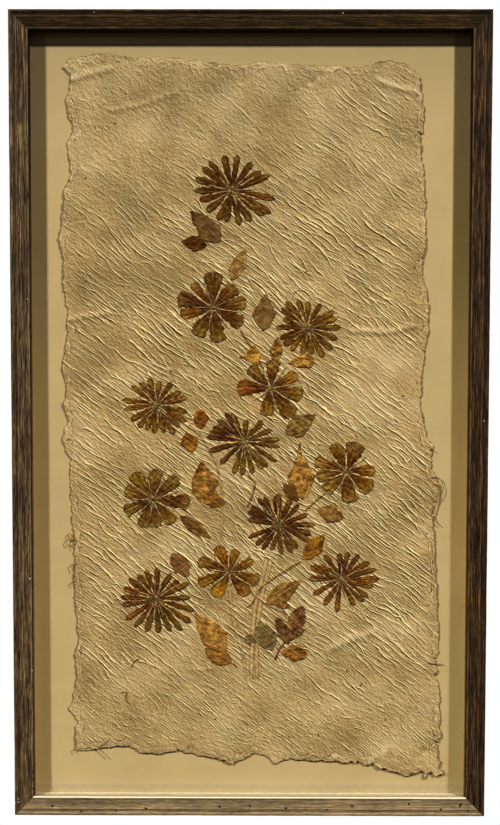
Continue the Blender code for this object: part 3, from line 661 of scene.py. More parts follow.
# The flowers, in millimetres and degrees. Narrow ones: centre, petal width, and each petal's
# (direction, length); broad ones: centre, and each petal's (direction, length, width)
NARROW_FLOWERS = {
    "daisy_1": ((-15.7, 194.4), 6.3, [
        (20, 35), (34, 30), (55, 30), (80, 31), (103, 31), (127, 32), (142, 32), (161, 33), (179, 32),
        (199, 29), (219, 28), (247, 28), (259, 27), (282, 30), (302, 31), (321, 35), (330, 39), (350, 38)]),
    "daisy_2": ((48.8, 77.9), 5.6, [
        (18, 27), (35, 27), (64, 24), (85, 23), (108, 26), (126, 29), (142, 28), (156, 22), (177, 27),
        (199, 25), (218, 25), (234, 24), (259, 23), (278, 23), (301, 29), (320, 29), (339, 28), (359, 29)]),
    "daisy_3": ((-79.9, 11.2), 5.5, [
        (14, 27), (33, 24), (59, 24), (86, 22), (107, 25), (124, 25), (144, 28), (168, 30), (185, 28),
        (207, 26), (230, 25), (247, 23), (267, 24), (283, 24), (303, 29), (318, 27), (332, 29), (349, 27)]),
    "daisy_4": ((-4.8, -19.4), 5.2, [
        (4, 31), (25, 26), (47, 24), (86, 19), (112, 27), (125, 30), (142, 30), (154, 30), (166, 32),
        (174, 33), (195, 32), (221, 29), (254, 30), (268, 30), (285, 29), (302, 29), (311, 30), (330, 33),
        (350, 31)]),
    "daisy_5": ((25.5, -91.9), 5.0, [
        (3, 31), (21, 26), (45, 25), (68, 25), (90, 28), (99, 26), (120, 28), (127, 30), (145, 30),
        (156, 30), (170, 28), (202, 29), (218, 27), (235, 26), (255, 23), (272, 26), (293, 26), (310, 26),
        (333, 31), (345, 29)]),
    "daisy_6": ((-81.1, -156.6), 5.5, [
        (3, 30), (28, 32), (40, 26), (61, 26), (87, 28), (108, 28), (125, 27), (144, 30), (159, 30),
        (175, 31), (191, 30), (215, 32), (235, 31), (255, 30), (275, 30), (292, 31), (310, 36), (324, 37),
        (343, 35)]),
    "daisy_7": ((79.0, -138.8), 5.3, [
        (17, 32), (35, 29), (55, 27), (78, 25), (93, 23), (123, 26), (145, 23), (158, 29), (179, 28),
        (209, 28), (239, 27), (261, 29), (297, 26), (313, 28), (327, 29), (345, 29), (359, 33)]),
}
BROAD_FLOWERS = {
    "broad_flower_1": ((-31.6, 94.8), [
        (8, 29, 11.2), (46, 27, 12.1), (90, 31, 14.7), (130, 28, 7.8), (164, 32, 13), (194, 29, 9.9),
        (240, 28, 13), (280, 30, 13.8), (333, 29, 12.1)]),
    "broad_flower_2": ((17.8, 26.3), [
        (27, 26, 10.8), (85, 25, 11.3), (137, 26, 10.4), (178, 29, 13), (259, 24, 12.1), (306, 31, 13.4),
        (346, 28, 11.7)]),
    "broad_flower_3": ((83.0, -45.6), [
        (6, 25, 10.4), (72, 27, 15.6), (111, 27, 11.3), (159, 29, 10.4), (188, 26, 10.4), (225, 25, 10.4),
        (276, 27, 13), (327, 27, 13)]),
    "broad_flower_4": ((-83.4, -70.2), [
        (43, 29, 11.3), (84, 27, 11.3), (123, 29, 12.2), (162, 26, 11.3), (201, 27, 9.6), (246, 26, 10.5),
        (275, 24, 10.5), (310, 27, 10.5), (356, 32, 13.1)]),
    "broad_flower_5": ((-17.6, -132.6), [
        (24, 23, 8.7), (74, 21, 7.4), (113, 25, 10), (158, 29, 10), (200, 29, 9.6), (241, 25, 10.9),
        (307, 26, 11.4), (341, 27, 10.5)]),
}


def all_flowers():
    """Every flower as name, centre and petals (direction, length, width)."""
    for name, (centre, width, petals) in NARROW_FLOWERS.items():
        yield name, centre, [(direction, length, width) for direction, length in petals]
    for name, (centre, petals) in BROAD_FLOWERS.items():
        yield name, centre, petals


def step_up(value, low, high):
    """0 below low, 1 above high, and smooth between."""
    part = np.clip((value - low) / (high - low), 0, 1)
    return part * part * (3 - 2 * part)


def fold_vigour(x, z):
    """How strong the folds are at each place: they fade out towards the upper left and at the
    right of the flowers in the middle."""
    upper_left = 0.65 * step_up(z - 0.5 * x + 15 * swell(x / 30, z / 30, 62), 190, 300)
    right = 0.35 * mound(x, 114, 42) * mound(z, 36, 44)
    return np.interp(z, *zip(*VIGOUR)) * (1 - upper_left) * (1 - right)


def relief(x, z, calm=1.0):
    """How far the crinkled sheet rises off its mean level at places in millimetres from the
    frame's middle, with each place's position across every family of folds, and their strength."""
    vigour = fold_vigour(x, z) * calm
    height = 0.8 * swell(x / 70, z / 55, 28) + 0.4 * swell(x / 24, z / 22, 29)
    height += 0.14 * swell(x / 5, z / 4, 30) + 0.12 * swell(x / 2.4, z / 1.8, 31)
    turns, strengths = [], []
    for number, (slope, spacing, rise, run, share) in enumerate(FOLDS):
        seed = 100 + 10 * number
        angle = math.radians(slope)
        along = x * math.cos(angle) - z * math.sin(angle)
        across = x * math.sin(angle) + z * math.cos(angle)
        bent = across + 6.5 * swell(across / 60, along / 65, seed) + spacing * (
            0.3 * swell(across / (2.6 * spacing), along / 14, seed + 1)
            + 0.14 * swell(across / spacing, along / 5.5, seed + 5))
        turn = bent / spacing
        line = np.floor(turn + 0.5)
        off = (turn - line) * spacing
        held = swell(line * 7.31 + 3.3, along / run, seed + 2) + 0.5 * swell(x / 45, z / 45, seed + 3)
        bold = 0.58 + 0.75 * swell(line * 3.77 + 1.9, along / 30, seed + 4)
        force = vigour
        if run < SHORT_RUN:
            force = vigour + FOOT_CRUMPLES * calm * step_up(-z, *CRUMPLED_FOOT)
        held = step_up(held, share, share + 0.4) * np.clip(bold, 0.12, 1.2) * force
        turns.append(turn)
        strengths.append(held * rise)
        height += 0.5 * held * rise * mound(off, 0, 0.65)
    return height, turns, strengths


def keep_folds(mesh, turns, strengths):
    """Store the folds on a mesh, three families to a vector, for the material to draw."""
    for name, values in (("turn", turns), ("hold", strengths)):
        for half in (0, 1):
            attribute = mesh.attributes.new(f"{name}_{half}", "FLOAT_VECTOR", "POINT")
            packed = np.column_stack(values[3 * half:3 * half + 3]).astype(np.float32)
            attribute.data.foreach_set("vector", packed.ravel())


def draw_folds(finish):
    """Each fold's sharp crest, and masks for its painted highlight on the upper side and its
    painted shade at the foot, as three heights.
    """
    crest = lit = dark = None
    for half in (0, 1):
        spacings = [family[1] for family in FOLDS[3 * half:3 * half + 3]]
        turn = finish.attribute(f"turn_{half}", "Vector")
        hold = finish.attribute(f"hold_{half}", "Vector")
        part = finish.vector("FRACTION", finish.vector("ADD", turn, (0.5, 0.5, 0.5)))
        off = finish.vector("MULTIPLY", finish.vector("SUBTRACT", part, (0.5, 0.5, 0.5)), spacings)

        def ridge(shift, width):
            moved = finish.vector("SUBTRACT", off, (shift, shift, shift))
            scaled = finish.vector("DIVIDE", moved, (width, width, width))
            square = finish.vector("MULTIPLY", scaled, scaled)
            bell = finish.vector("MAXIMUM", finish.vector("SUBTRACT", (1, 1, 1), square), (0, 0, 0))
            return finish.vector("DOT_PRODUCT", finish.vector("MULTIPLY", bell, bell), hold)

        drawn = ridge(0.0, 0.45), ridge(0.12, 0.52), ridge(-0.64, 0.56)
        if crest is None:
            crest, lit, dark = drawn
        else:
            crest, lit, dark = [finish.math("ADD", old, new)
                                for old, new in zip((crest, lit, dark), drawn)]
    return crest, lit, dark


def distance_inside(x, z, outline):
    """Signed distance in from a closed outline: positive inside it."""
    nearest = np.full(x.shape, np.inf)
    inside = np.zeros(x.shape, bool)
    for (x1, z1), (x2, z2) in zip(outline, outline[1:] + outline[:1]):
        dx, dz = x2 - x1, z2 - z1
        part = np.clip(((x - x1) * dx + (z - z1) * dz) / (dx * dx + dz * dz), 0, 1)
        nearest = np.minimum(nearest, np.hypot(x - x1 - part * dx, z - z1 - part * dz))
        if dz:
            crosses = (z1 > z) != (z2 > z)
            inside ^= crosses & (x < x1 + (z - z1) / dz * dx)
    return np.where(inside, nearest, -nearest)


def torn(x, z):
    """Signed distance in from the torn edge, with its small bites and tufts."""
    ragged = 1.3 * swell(x / 8, z / 8, 41) + 0.8 * swell(x / 3.3, z / 3.3, 42)
    ragged += 0.5 * step_up(swell(x / 14, z / 14, 44), 0.0, 0.6) * swell(x / 1.4, z / 1.4, 43)
    outline = [tuple(c + TRACE_RATIO * (v - c) for v, c in zip(point, TRACE_CENTRE))
               for point in PAPER_EDGE]
    return distance_inside(x, z, outline) + ragged


def paper_finish():
    """Tan paper, sealed with thin glue: mottled and flecked, with painted highlights and painted
    shade on its folds, wrinkles, undulations and torn edge.
    """
    paper = Finish("handmade_paper", roughness=0.5)
    turned = (0, -CREASE_SLOPE, 0)

    def facing(scale, shift, detail, bend):
        """A pattern of fine wrinkles, as how far each place faces up the sheet (over 0) or down."""
        upper, lower = [paper.noise(paper.mapped(scale, turned, shift=(0, 0, move)), 1.0, detail=detail,
                                    roughness=0.6, bend=bend) for move in (-shift, shift)]
        return paper.math("SUBTRACT", upper, lower)

    def creases(move):
        """A net of thin creases that run every way, moved up the sheet by `move`."""
        net = paper.noise(paper.mapped((110, 125, 150), turned, shift=(0, 0, move)), 1.0, detail=0.0,
                          kind="RIDGED_MULTIFRACTAL", bend=1.0)
        net.node.inputs["Offset"].default_value = 1.0
        return paper.grey(net, (0.8, 0.0), (0.97, 1.0))

    def bell(value, middle, width):
        off = paper.math("DIVIDE", paper.math("SUBTRACT", value, middle), width)
        return paper.math("MAXIMUM", paper.math("SUBTRACT", 1.0, paper.math("MULTIPLY", off, off)), 0.0)

    clouds = paper.noise(paper.mapped((44, 30, 21), turned), 1.0, detail=5.0, roughness=0.6)
    hues = paper.noise(paper.mapped((30, 30, 55), turned), 1.0, detail=4.0)
    pulp = paper.noise(paper.place, 900.0, detail=3.0, roughness=0.65)
    specks = paper.noise(paper.place, 330.0, detail=1.0)
    crest, lit, dark = draw_folds(paper)
    vigour = paper.attribute("vigour")
    # Mottled tan by the clouds, which also stand for the painted light and shade of the sheet's broad
    # undulations
    tan = paper.ramp(clouds, (0.3, seen(158, 126, 71)), (0.5, seen(183, 150, 90)),
                     (0.7, seen(208, 175, 112)))
    tan = paper.blend(paper.grey(hues, (0.32, 0.7), (0.5, 0.0)), tan, seen(148, 128, 72))
    tan = paper.blend(paper.grey(hues, (0.54, 0.0), (0.72, 0.45)), tan, seen(198, 162, 106))
    tan = paper.blend(paper.attribute("glue"), tan, seen(146, 108, 50))
    hue = paper.ramp(paper.height(-300, 300), (0.0, (1.0, 0.99, 0.98, 1)), (0.5, (1.05, 0.99, 0.93, 1)),
                     (0.8, (1.01, 0.99, 0.98, 1)), (1.0, (0.96, 0.99, 1.06, 1)))
    tan = paper.blend(1.0, tan, hue, "MULTIPLY")
    tan = paper.blend(paper.grey(pulp, (0.3, 0.3), (0.45, 0.0)), tan, seen(134, 104, 58))
    tan = paper.blend(paper.grey(pulp, (0.55, 0.0), (0.7, 0.3)), tan, seen(206, 178, 122))

    # Wrinkles of three sizes and a net of thin creases: painted highlights where they face up and
    # painted shade where they face down
    fine = facing((140, 300, 520), 0.35 * MM, 2.0, 1.1)
    small = facing((420, 420, 520), 0.3 * MM, 2.0, 0.8)
    nets = paper.math("SUBTRACT", creases(-0.3 * MM), creases(0.3 * MM))
    strewn = paper.grey(paper.noise(paper.place, 55.0, detail=1.0), (0.4, 0.1), (0.62, 1.0))
    nets = paper.math("MULTIPLY", nets, paper.math("MULTIPLY", strewn, paper.math("SUBTRACT", 1.35, vigour)))
    broad = facing((150, 170, 210), 0.7 * MM, 3.0, 1.4)
    slant = paper.math("ADD", paper.math("MULTIPLY", paper.math("MULTIPLY", fine, vigour), 2.2),
                       paper.math("MULTIPLY", small, 2.3))
    slant = paper.math("ADD", slant, paper.math("MULTIPLY", broad, 1.5))
    slant = paper.math("ADD", slant, paper.math("MULTIPLY", nets, 1.3))
    tan = paper.blend(paper.math("MINIMUM", paper.math("MAXIMUM", slant, 0.0), 0.7), tan, seen(236, 210, 154))
    slant = paper.math("MULTIPLY", slant, -1.0)
    tan = paper.blend(paper.math("MINIMUM", paper.math("MAXIMUM", slant, 0.0), 0.7), tan, seen(84, 56, 20))

    # The long folds: painted shade at their feet and painted highlights on their upper sides
    tan = paper.blend(paper.math("MULTIPLY", dark, 4.6), tan, seen(64, 38, 6))
    tan = paper.blend(paper.math("MULTIPLY", lit, 4.4), tan, seen(254, 230, 160))
    # The single creases and broad undulations: painted light where they rise and painted shade below
    painted_light_and_shade = paper.attribute("painted_light_and_shade")
    raised = paper.math("MULTIPLY", paper.math("MAXIMUM", painted_light_and_shade, 0.0), 0.6)
    tan = paper.blend(raised, tan, seen(226, 196, 144))
    sunk = paper.math("MULTIPLY", paper.math("MINIMUM", painted_light_and_shade, 0.0), -0.55)
    tan = paper.blend(sunk, tan, seen(104, 76, 34))

    # The torn edge: a broken fold just inside it with painted shade and a painted highlight, a painted
    # highlight along the rim, and a painted shadow as the dark outermost line
    rim = paper.attribute("rim")
    sway = paper.noise(paper.place, 95.0, detail=3.0)
    gaps = paper.noise(paper.place, 160.0, detail=1.0)
    hem = paper.math("SUBTRACT", paper.math("ADD", rim, 3.0), paper.math("MULTIPLY", sway, 15.0))
    shown = paper.grey(gaps, (0.44, 0.0), (0.56, 0.6))
    tan = paper.blend(paper.math("MULTIPLY", bell(hem, 1.0, 0.8), shown), tan, seen(86, 56, 20))
    tan = paper.blend(paper.math("MULTIPLY", bell(hem, 0.0, 0.7), shown), tan, seen(240, 214, 160))
    tan = paper.blend(paper.math("MULTIPLY", bell(rim, 1.5, 0.8), 0.2), tan, seen(232, 204, 150))
    tan = paper.blend(paper.math("MULTIPLY", bell(rim, 0.2, 0.6), 0.6), tan, seen(92, 62, 26))
    tan = paper.blend(paper.attribute("stain"), tan, seen(84, 58, 24))
    tan = paper.blend(paper.grey(specks, (0.80, 0.0), (0.84, 0.8)), tan, seen(60, 38, 14))
    paper.colour(tan)
    paper.roughen(paper.grey(clouds, (0.3, 0.58), (0.7, 0.44)))
    wrinkle = paper.noise(paper.mapped((95, 300, 560), turned), 1.0, detail=2.0, roughness=0.6, bend=0.5)
    paper.bump((crest, 0.7 * MM, 0.7), (wrinkle, 0.6 * MM, 0.5), (pulp, 0.15 * MM, 0.5))
    return paper


def outline_depth(sheet):
    """How far each vertex of the flat sheet lies inside the torn edge."""
    half_width, half_height, far_outside = 176, 324, -99.0
    sheet.verts.ensure_lookup_table()
    sheet.verts.index_update()
    places = np.array([(vert.co.x, vert.co.y) for vert in sheet.verts])
    inside = (np.abs(places[:, 0]) < half_width) & (np.abs(places[:, 1]) < half_height)
    depths = np.full(len(places), far_outside)
    depths[inside] = torn(places[inside, 0], places[inside, 1])
    return depths


def clip_to_outline(sheet, least):
    """Drop what lies less than `least` millimetres inside the torn edge."""
    outside = [sheet.verts[number] for number in np.flatnonzero(outline_depth(sheet) < least)]
    bmesh.ops.delete(sheet, geom=outside, context="VERTS")


def drop_pinches(sheet):
    """Drop stray cells, and corners where the edge of the sheet would touch itself."""
    weak = True
    while weak:
        weak = [vert for vert in sheet.verts if not vert.link_faces
                or sum(edge.is_boundary for edge in vert.link_edges) > 2]
        bmesh.ops.delete(sheet, geom=weak, context="VERTS")
    start = min(sheet.verts, key=lambda vert: vert.co.length)
    kept, fresh = {start}, {start}
    while fresh:
        fresh = {edge.other_vert(vert) for vert in fresh for edge in vert.link_edges} - kept
        kept |= fresh
    bmesh.ops.delete(sheet, geom=[vert for vert in sheet.verts if vert not in kept], context="VERTS")


def cut_sheet():
    """The flat sheet, cut to its torn edge and closed behind: its front at 0 and its back at -1."""
    reach_along = 330
    reach_across = 350
    sheet = bmesh.new()
    bmesh.ops.create_grid(sheet, x_segments=int(2 * reach_along / CELL_ALONG),
                          y_segments=int(2 * reach_across / CELL_ACROSS), size=1)
    bmesh.ops.scale(sheet, verts=sheet.verts, vec=(reach_along, reach_across, 1))
    bmesh.ops.rotate(sheet, verts=sheet.verts, matrix=Matrix.Rotation(-CREASE_SLOPE, 3, "Z"))
    clip_to_outline(sheet, -RIM_BAND)
    band = np.abs(outline_depth(sheet)) < RIM_BAND
    edges = [edge for edge in sheet.edges if all(band[vert.index] for vert in edge.verts)]
    bmesh.ops.subdivide_edges(sheet, edges=edges, cuts=1, use_grid_fill=True)
    band = np.abs(outline_depth(sheet)) < RIM_BAND / 2
    edges = [edge for edge in sheet.edges if all(band[vert.index] for vert in edge.verts)
             and edge.calc_length() > 1.2]
    bmesh.ops.subdivide_edges(sheet, edges=edges, cuts=2, use_grid_fill=True)
    clip_to_outline(sheet, -0.25)
    drop_pinches(sheet)
    rim = [edge for edge in sheet.edges if edge.is_boundary]
    rim_verts = list({vert for edge in rim for vert in edge.verts})
    spots = np.array([(vert.co.x, vert.co.y) for vert in rim_verts])
    # The edge's vertices are drawn on to the torn line, a part of the way at a time
    probe, longest, part = 0.8, 0.45, 0.6
    for _ in range(3):
        x, z = spots[:, 0], spots[:, 1]
        slope_x = (torn(x + probe, z) - torn(x - probe, z)) / (2 * probe)
        slope_z = (torn(x, z + probe) - torn(x, z - probe)) / (2 * probe)
        steep = np.maximum(slope_x ** 2 + slope_z ** 2, 0.8)
        step = np.clip(torn(x, z), -longest, longest) / steep
        spots -= part * np.column_stack([slope_x * step, slope_z * step])
    for vert, (x, z) in zip(rim_verts, spots):
        vert.co.x, vert.co.y = x, z

    skirt = bmesh.ops.extrude_edge_only(sheet, edges=rim)["geom"]
    lower = [item for item in skirt if isinstance(item, bmesh.types.BMVert)]
    for vert in lower:
        vert.co.z = -1
    lower_rim = [item for item in skirt if isinstance(item, bmesh.types.BMEdge) and item.is_boundary]
    bmesh.ops.holes_fill(sheet, edges=lower_rim, sides=0)
    return sheet


def add_paper():
    paper = make_piece("handmade_paper_sheet", cut_sheet(), paper_finish(), "handmade_paper",
                       "handmade_paper")
    points = points_of(paper.data)
    x, z, under = points[:, 0], points[:, 1], points[:, 2] < -0.5
    edge = torn(x, z)
    calm = 0.25 + 0.75 * step_up(edge + 6 * swell(x / 16, z / 16, 57), 2, 20)
    height, turns, strengths = relief(x, z, calm)
    # The single creases, each with painted light on it and painted shade below it, and painted light
    # and shade for broad undulations and two broad patches at the sides
    painted_light_and_shade = np.zeros(len(x))
    wavy = 0.5 * swell(x / 4, z / 4, 60)
    for line, width, rise in SINGLE_CREASES:
        there_and_back = line + line[-2:0:-1]
        crest = mound(np.abs(distance_inside(x, z, there_and_back)) + wavy, 0, width)
        below = mound(np.abs(distance_inside(x, z + 1.5 * width, there_and_back)) + wavy, 0, width)
        height += rise * crest
        painted_light_and_shade += np.sign(rise) * (crest - 0.8 * below)
    painted_light_and_shade += 0.6 * swell(x / 42, z / 33, 63)
    painted_light_and_shade += 0.35 * mound(x, 120, 45) * mound(z, 20, 55) - 0.4 * mound(x, -120, 45) * mound(z, 110, 70)
    # The torn edge dips, curls up in places, and has a fold and small crumples along it
    inner = np.maximum(edge, 0)
    curl = 0.6 * mound(inner, 0, 1.6) * step_up(swell(x / 13, z / 13, 51), -0.1, 0.7)
    fold_at = 5.5 + 2.5 * swell(x / 21, z / 21, 52)
    fold = mound(edge, fold_at, 0.8) * step_up(swell(x / 17, z / 17, 53), -0.3, 0.3)
    crumple = np.exp(-inner / 7) * swell(x / 3.6, z / 3.6, 54) * step_up(edge, 0, 2.5)
    patchy = step_up(swell(x / 25, z / 25, 61) + 0.002 * x - 0.001 * z, -0.1, 0.5)
    height += 1.1 * curl + 0.3 * fold + (0.15 + 0.5 * patchy) * crumple
    height -= 0.6 * np.exp(-inner / 2.5) + 0.5 * mound(edge, 2.2, 1.1) * curl
    front = np.maximum(PAPER_LEVEL + height, PAPER_BACK + PAPER_THICKNESS)
    depth = np.where(under, PAPER_BACK, front)
    set_points(paper.data, np.column_stack([x, -depth, z + MIDDLE_Z / MM]) * MM)

    # What the finish reads: the folds, stains, the edge, and where glue darkens the sheet
    keep_folds(paper.data, turns, strengths)
    stain = 0.45 * np.exp(-inner / 0.9) * step_up(swell(x / 9, z / 9, 55), -0.2, 0.7)
    blot = 0.16 * step_up(swell(x / 19, z / 24, 56), 0.2, 0.9)
    store(paper.data, "stain", np.clip(stain + blot, 0, 1))
    store(paper.data, "rim", np.clip(edge, -2, 12))
    store(paper.data, "painted_light_and_shade", painted_light_and_shade)
    store(paper.data, "vigour", fold_vigour(x, z) * calm)
    leafy_places = [(40, -60), (0, -180), (20, 60), (-40, 140)]
    glued_places = [centre for _, centre, _ in all_flowers()] + leafy_places
    away = np.min([np.hypot(x - place_x, z - place_z) for place_x, place_z in glued_places], axis=0)
    glue = 0.2 * step_up(58 - away + 22 * swell(x / 22, z / 22, 58), 0, 50)
    glue += 0.35 * step_up(swell(x / 45, z / 38, 59), 0.0, 0.8) * step_up(70 - x, 0, 60)
    store(paper.data, "glue", np.clip(glue, 0, 0.85))
    normals = bmesh.new()
    normals.from_mesh(paper.data)
    bmesh.ops.recalc_face_normals(normals, faces=normals.faces[:])
    normals.to_mesh(paper.data)
    normals.free()


add_paper()

# ---------------------------------------------------------------------------------------------
# The flowers: dried petals pressed flat and glued down one by one round a crumpled centre, now
# brown, olive and dull gold. Each takes up the sheet's creases, and pale glue shows between.
# ---------------------------------------------------------------------------------------------
# Petal colours by direction: each flower's (direction in degrees, eight-bit sRGB)
PETAL_COLOURS = {
    "daisy_1": [(0, (88, 56, 24)), (90, (84, 54, 22)), (180, (76, 46, 22)), (270, (80, 50, 24))],
    "daisy_2": [(0, (112, 76, 44)), (90, (104, 70, 30)), (180, (92, 54, 30)), (270, (108, 74, 40))],
    "daisy_3": [(0, (112, 74, 32)), (90, (100, 64, 24)), (180, (118, 76, 24)), (270, (106, 72, 32))],
    "daisy_4": [(0, (96, 70, 36)), (80, (98, 74, 30)), (150, (70, 40, 28)), (200, (78, 48, 30)),
                (270, (100, 76, 38))],
    "daisy_5": [(0, (92, 58, 30)), (60, (84, 48, 26)), (135, (60, 28, 22)), (200, (78, 44, 28)),
                (270, (92, 60, 32))],
    "daisy_6": [(0, (92, 60, 20)), (90, (84, 52, 18)), (180, (98, 54, 22)), (270, (80, 54, 20))],
    "daisy_7": [(0, (104, 66, 32)), (90, (92, 54, 28)), (180, (110, 70, 30)), (270, (96, 60, 34))],
    "broad_flower_1": [(8, (96, 70, 24)), (46, (88, 56, 18)), (90, (84, 54, 16)), (130, (92, 54, 18)),
                       (164, (82, 44, 14)), (194, (122, 76, 16)), (240, (98, 70, 24)),
                       (280, (92, 66, 24)), (333, (86, 52, 16))],
    "broad_flower_2": [(27, (150, 106, 26)), (85, (112, 72, 20)), (137, (116, 84, 24)),
                       (178, (108, 56, 16)), (259, (110, 76, 24)), (306, (98, 58, 18)),
                       (346, (118, 84, 28))],
    "broad_flower_3": [(6, (124, 86, 26)), (72, (88, 54, 18)), (111, (102, 66, 22)), (159, (122, 84, 34)),
                       (188, (152, 112, 52)), (225, (118, 84, 30)), (276, (126, 84, 24)),
                       (327, (112, 70, 20))],
    "broad_flower_4": [(43, (106, 80, 32)), (84, (98, 72, 28)), (123, (108, 80, 32)), (162, (112, 82, 34)),
                       (201, (102, 76, 30)), (246, (108, 78, 30)), (275, (102, 70, 26)),
                       (310, (100, 70, 24)), (356, (88, 50, 14))],
    "broad_flower_5": [(24, (130, 84, 20)), (74, (124, 80, 18)), (113, (138, 92, 22)), (158, (122, 78, 18)),
                       (200, (134, 90, 22)), (241, (182, 128, 36)), (307, (128, 84, 20)),
                       (341, (118, 76, 18))],
}
# How far petals stand over the sheet's face, how thick they are, and how far every pressed piece
# stays in front of the sheet's back
PETAL_LIFT = 0.22
PETAL_THICKNESS = 0.12 * MM
LEAST_LIFT = 0.3
# Tones number a flower's parts: petals from 1, pale glue between them and bits of the centre
GLUE_TONE = 100
DISC_TONE = 200
# What the petals' colours are multiplied by, to come out as warm as they look
PETAL_WARMTH = np.array([0.98, 0.84, 0.2, 1.0])
GLUE_PALE = np.array(seen(198, 162, 98))
DISC_BROWN = np.array(seen(136, 108, 56))
WINE = np.array(seen(58, 20, 10))
OLIVE = np.array(seen(116, 86, 24))
FADED = np.array(seen(160, 128, 70))


def dried_finish(name, streak_scale, light, dark, roughness, fold=0.5, patch_scale=300.0):
    """Dried plant tissue: streaked along its length and blotched, with painted highlights and painted
    shade on the same folds as the sheet.
    """
    dried = Finish(name, roughness=roughness, gloss=0.03)
    own = dried.add("ShaderNodeCombineXYZ", X=dried.attribute("across"), Y=dried.attribute("along"),
                    Z=dried.attribute("tone")).outputs[0]
    veins = dried.noise(dried.mapped(streak_scale, source=own), 1.0, detail=3.0, roughness=0.6)
    blotch = dried.noise(dried.place, patch_scale, detail=3.0, roughness=0.6)
    crinkle = dried.noise(dried.place, 520.0, detail=3.0, kind="RIDGED_MULTIFRACTAL")
    crest, lit, foot = draw_folds(dried)
    tint = dried.attribute("tint", "Color")
    tint = dried.blend(dried.grey(veins, (0.5, 0.0), (0.8, light)), tint, seen(156, 116, 50))
    tint = dried.blend(dried.grey(veins, (0.25, dark), (0.48, 0.0)), tint, seen(38, 14, 4))
    shade = dried.ramp(blotch, (0.3, (0.78, 0.68, 0.64, 1)), (0.5, (1, 1, 1, 1)), (0.7, (1.22, 1.34, 1.3, 1)))
    tint = dried.blend(1.0, tint, shade, "MULTIPLY")
    # Painted shade at the folds' feet and painted highlights on their upper sides, scaled by `fold`
    tint = dried.blend(dried.math("MULTIPLY", foot, fold), tint, seen(44, 20, 4))
    tint = dried.blend(dried.math("MULTIPLY", lit, fold), tint, seen(222, 186, 130))
    dried.colour(tint)
    dried.roughen(dried.grey(blotch, (0.3, roughness + 0.1), (0.7, roughness - 0.06)))
    dried.bump((veins, 0.3 * MM, 0.5), (crinkle, 0.2 * MM, 0.35), (crest, 0.5 * MM, 0.6))
    return dried


petal_finish = dried_finish("dried_petal", (3.4, 1.8, 60), 0.4, 0.8, 0.5)


def crumpled(x, z, size, seed, slope=0.0, stretch=1.0):
    """Crumpled dry tissue, its wrinkles `stretch` times as long as wide and at a slope in radians:
    its height at each place, and how far that place faces up to the light."""

    def height(u, v):
        along = (u * math.cos(slope) + v * math.sin(slope)) / stretch
        across = v * math.cos(slope) - u * math.sin(slope)
        return (0.6 * swell(along / size, across / size, seed)
                + 0.5 * np.abs(swell(along * 1.5 / size + 9, across * 1.5 / size, seed + 1)))

    return height(x, z), height(x + 0.15, z - 0.35) - height(x - 0.15, z + 0.35)


def mixed(first, second, part):
    """Two sets of colours mixed, by a part from 0 to 1 for each place."""
    part = np.asarray(part)[:, None]
    return first * (1 - part) + second * part


def strip(builder, rows, columns, shape, tone):
    """Add a flat patch to a bmesh. shape(along, across) gives its x and z in millimetres, with
    along from 0 to 1 and across from -1 to 1; both are kept on its vertices."""
    layers = builder.verts.layers.float
    keep_along = layers.get("along") or layers.new("along")
    keep_across = layers.get("across") or layers.new("across")
    keep_tone = layers.get("tone") or layers.new("tone")
    made = bmesh.ops.create_grid(builder, x_segments=columns, y_segments=rows, size=1)["verts"]
    for vert in made:
        across, along = vert.co.x, (vert.co.y + 1) / 2
        x, z = shape(along, across)
        vert.co = (x, 0, z)
        vert[keep_along] = along
        vert[keep_across] = across
        vert[keep_tone] = tone


def read(mesh, name):
    values = np.empty(len(mesh.vertices), np.float32)
    mesh.attributes[name].data.foreach_get("value", values)
    return values


def press(piece, lift, thickness):
    """Lay a piece on the crinkled sheet, `lift` millimetres over it, and give it a thickness."""
    points = points_of(piece.data)
    height, turns, strengths = relief(points[:, 0], points[:, 2])
    keep_folds(piece.data, turns, strengths)
    depth = np.maximum(PAPER_LEVEL + height + lift, PAPER_BACK + LEAST_LIFT)
    set_points(piece.data, np.column_stack([points[:, 0], -depth, points[:, 2] + MIDDLE_Z / MM]) * MM)
    solid = piece.modifiers.new("thickness", "SOLIDIFY")
    solid.thickness = thickness
    solid.offset = 1.0


def store_tint(mesh, colours):
    attribute = mesh.color_attributes.new("tint", "FLOAT_COLOR", "POINT")
    attribute.data.foreach_set("color", np.clip(colours, 0, 1).astype(np.float32).ravel())


def face_front(builder):
    """Turn every face of a flat builder towards the viewer."""
    for face in builder.faces:
        face.normal_update()
        if face.normal.y > 0:
            face.normal_flip()


def petal_shape(centre, direction, inner, length, width, waist, widest, sway, ragged=0.0, blunt=3):
    """The outline of one petal: `waist` of its width at the root, full width at `widest` of its
    length, and a tip as `blunt` as given, with edges `ragged` by that part of the width."""
    radians = math.radians(direction)
    out = Vector((math.cos(radians), math.sin(radians)))
    side = Vector((-out.y, out.x))
    fine = np.linspace(-1, 1, 41)
    nicks = {hand: swell(fine * 3.1 + 5 * hand + 11, fine * 0 + direction, 64) for hand in (-1, 0, 1)}

    def shape(along, across):
        half = width / 2 * (waist + (1 - waist) * min(along / widest, 1) ** 0.8)
        past = max(along - widest, 0) / (1 - widest)
        half *= max(1 - past ** blunt, 0.0) ** 0.5 * 0.76 + 0.24
        hand = 1 if across > 0 else -1
        half *= 1 + ragged * abs(across) * np.interp(2 * along - 1, fine, nicks[hand])
        reach = inner + (length - inner) * along * (1 - 0.05 * across * across)
        reach += 0.3 * ragged * width * along ** 4 * np.interp(across, fine, nicks[0])
        return Vector(centre) + out * reach + side * (across * half + sway * along * along)

    return shape


def nearest_colour(choices, direction):
    return min(choices, key=lambda choice: abs((choice[0] - direction + 180) % 360 - 180))[1]


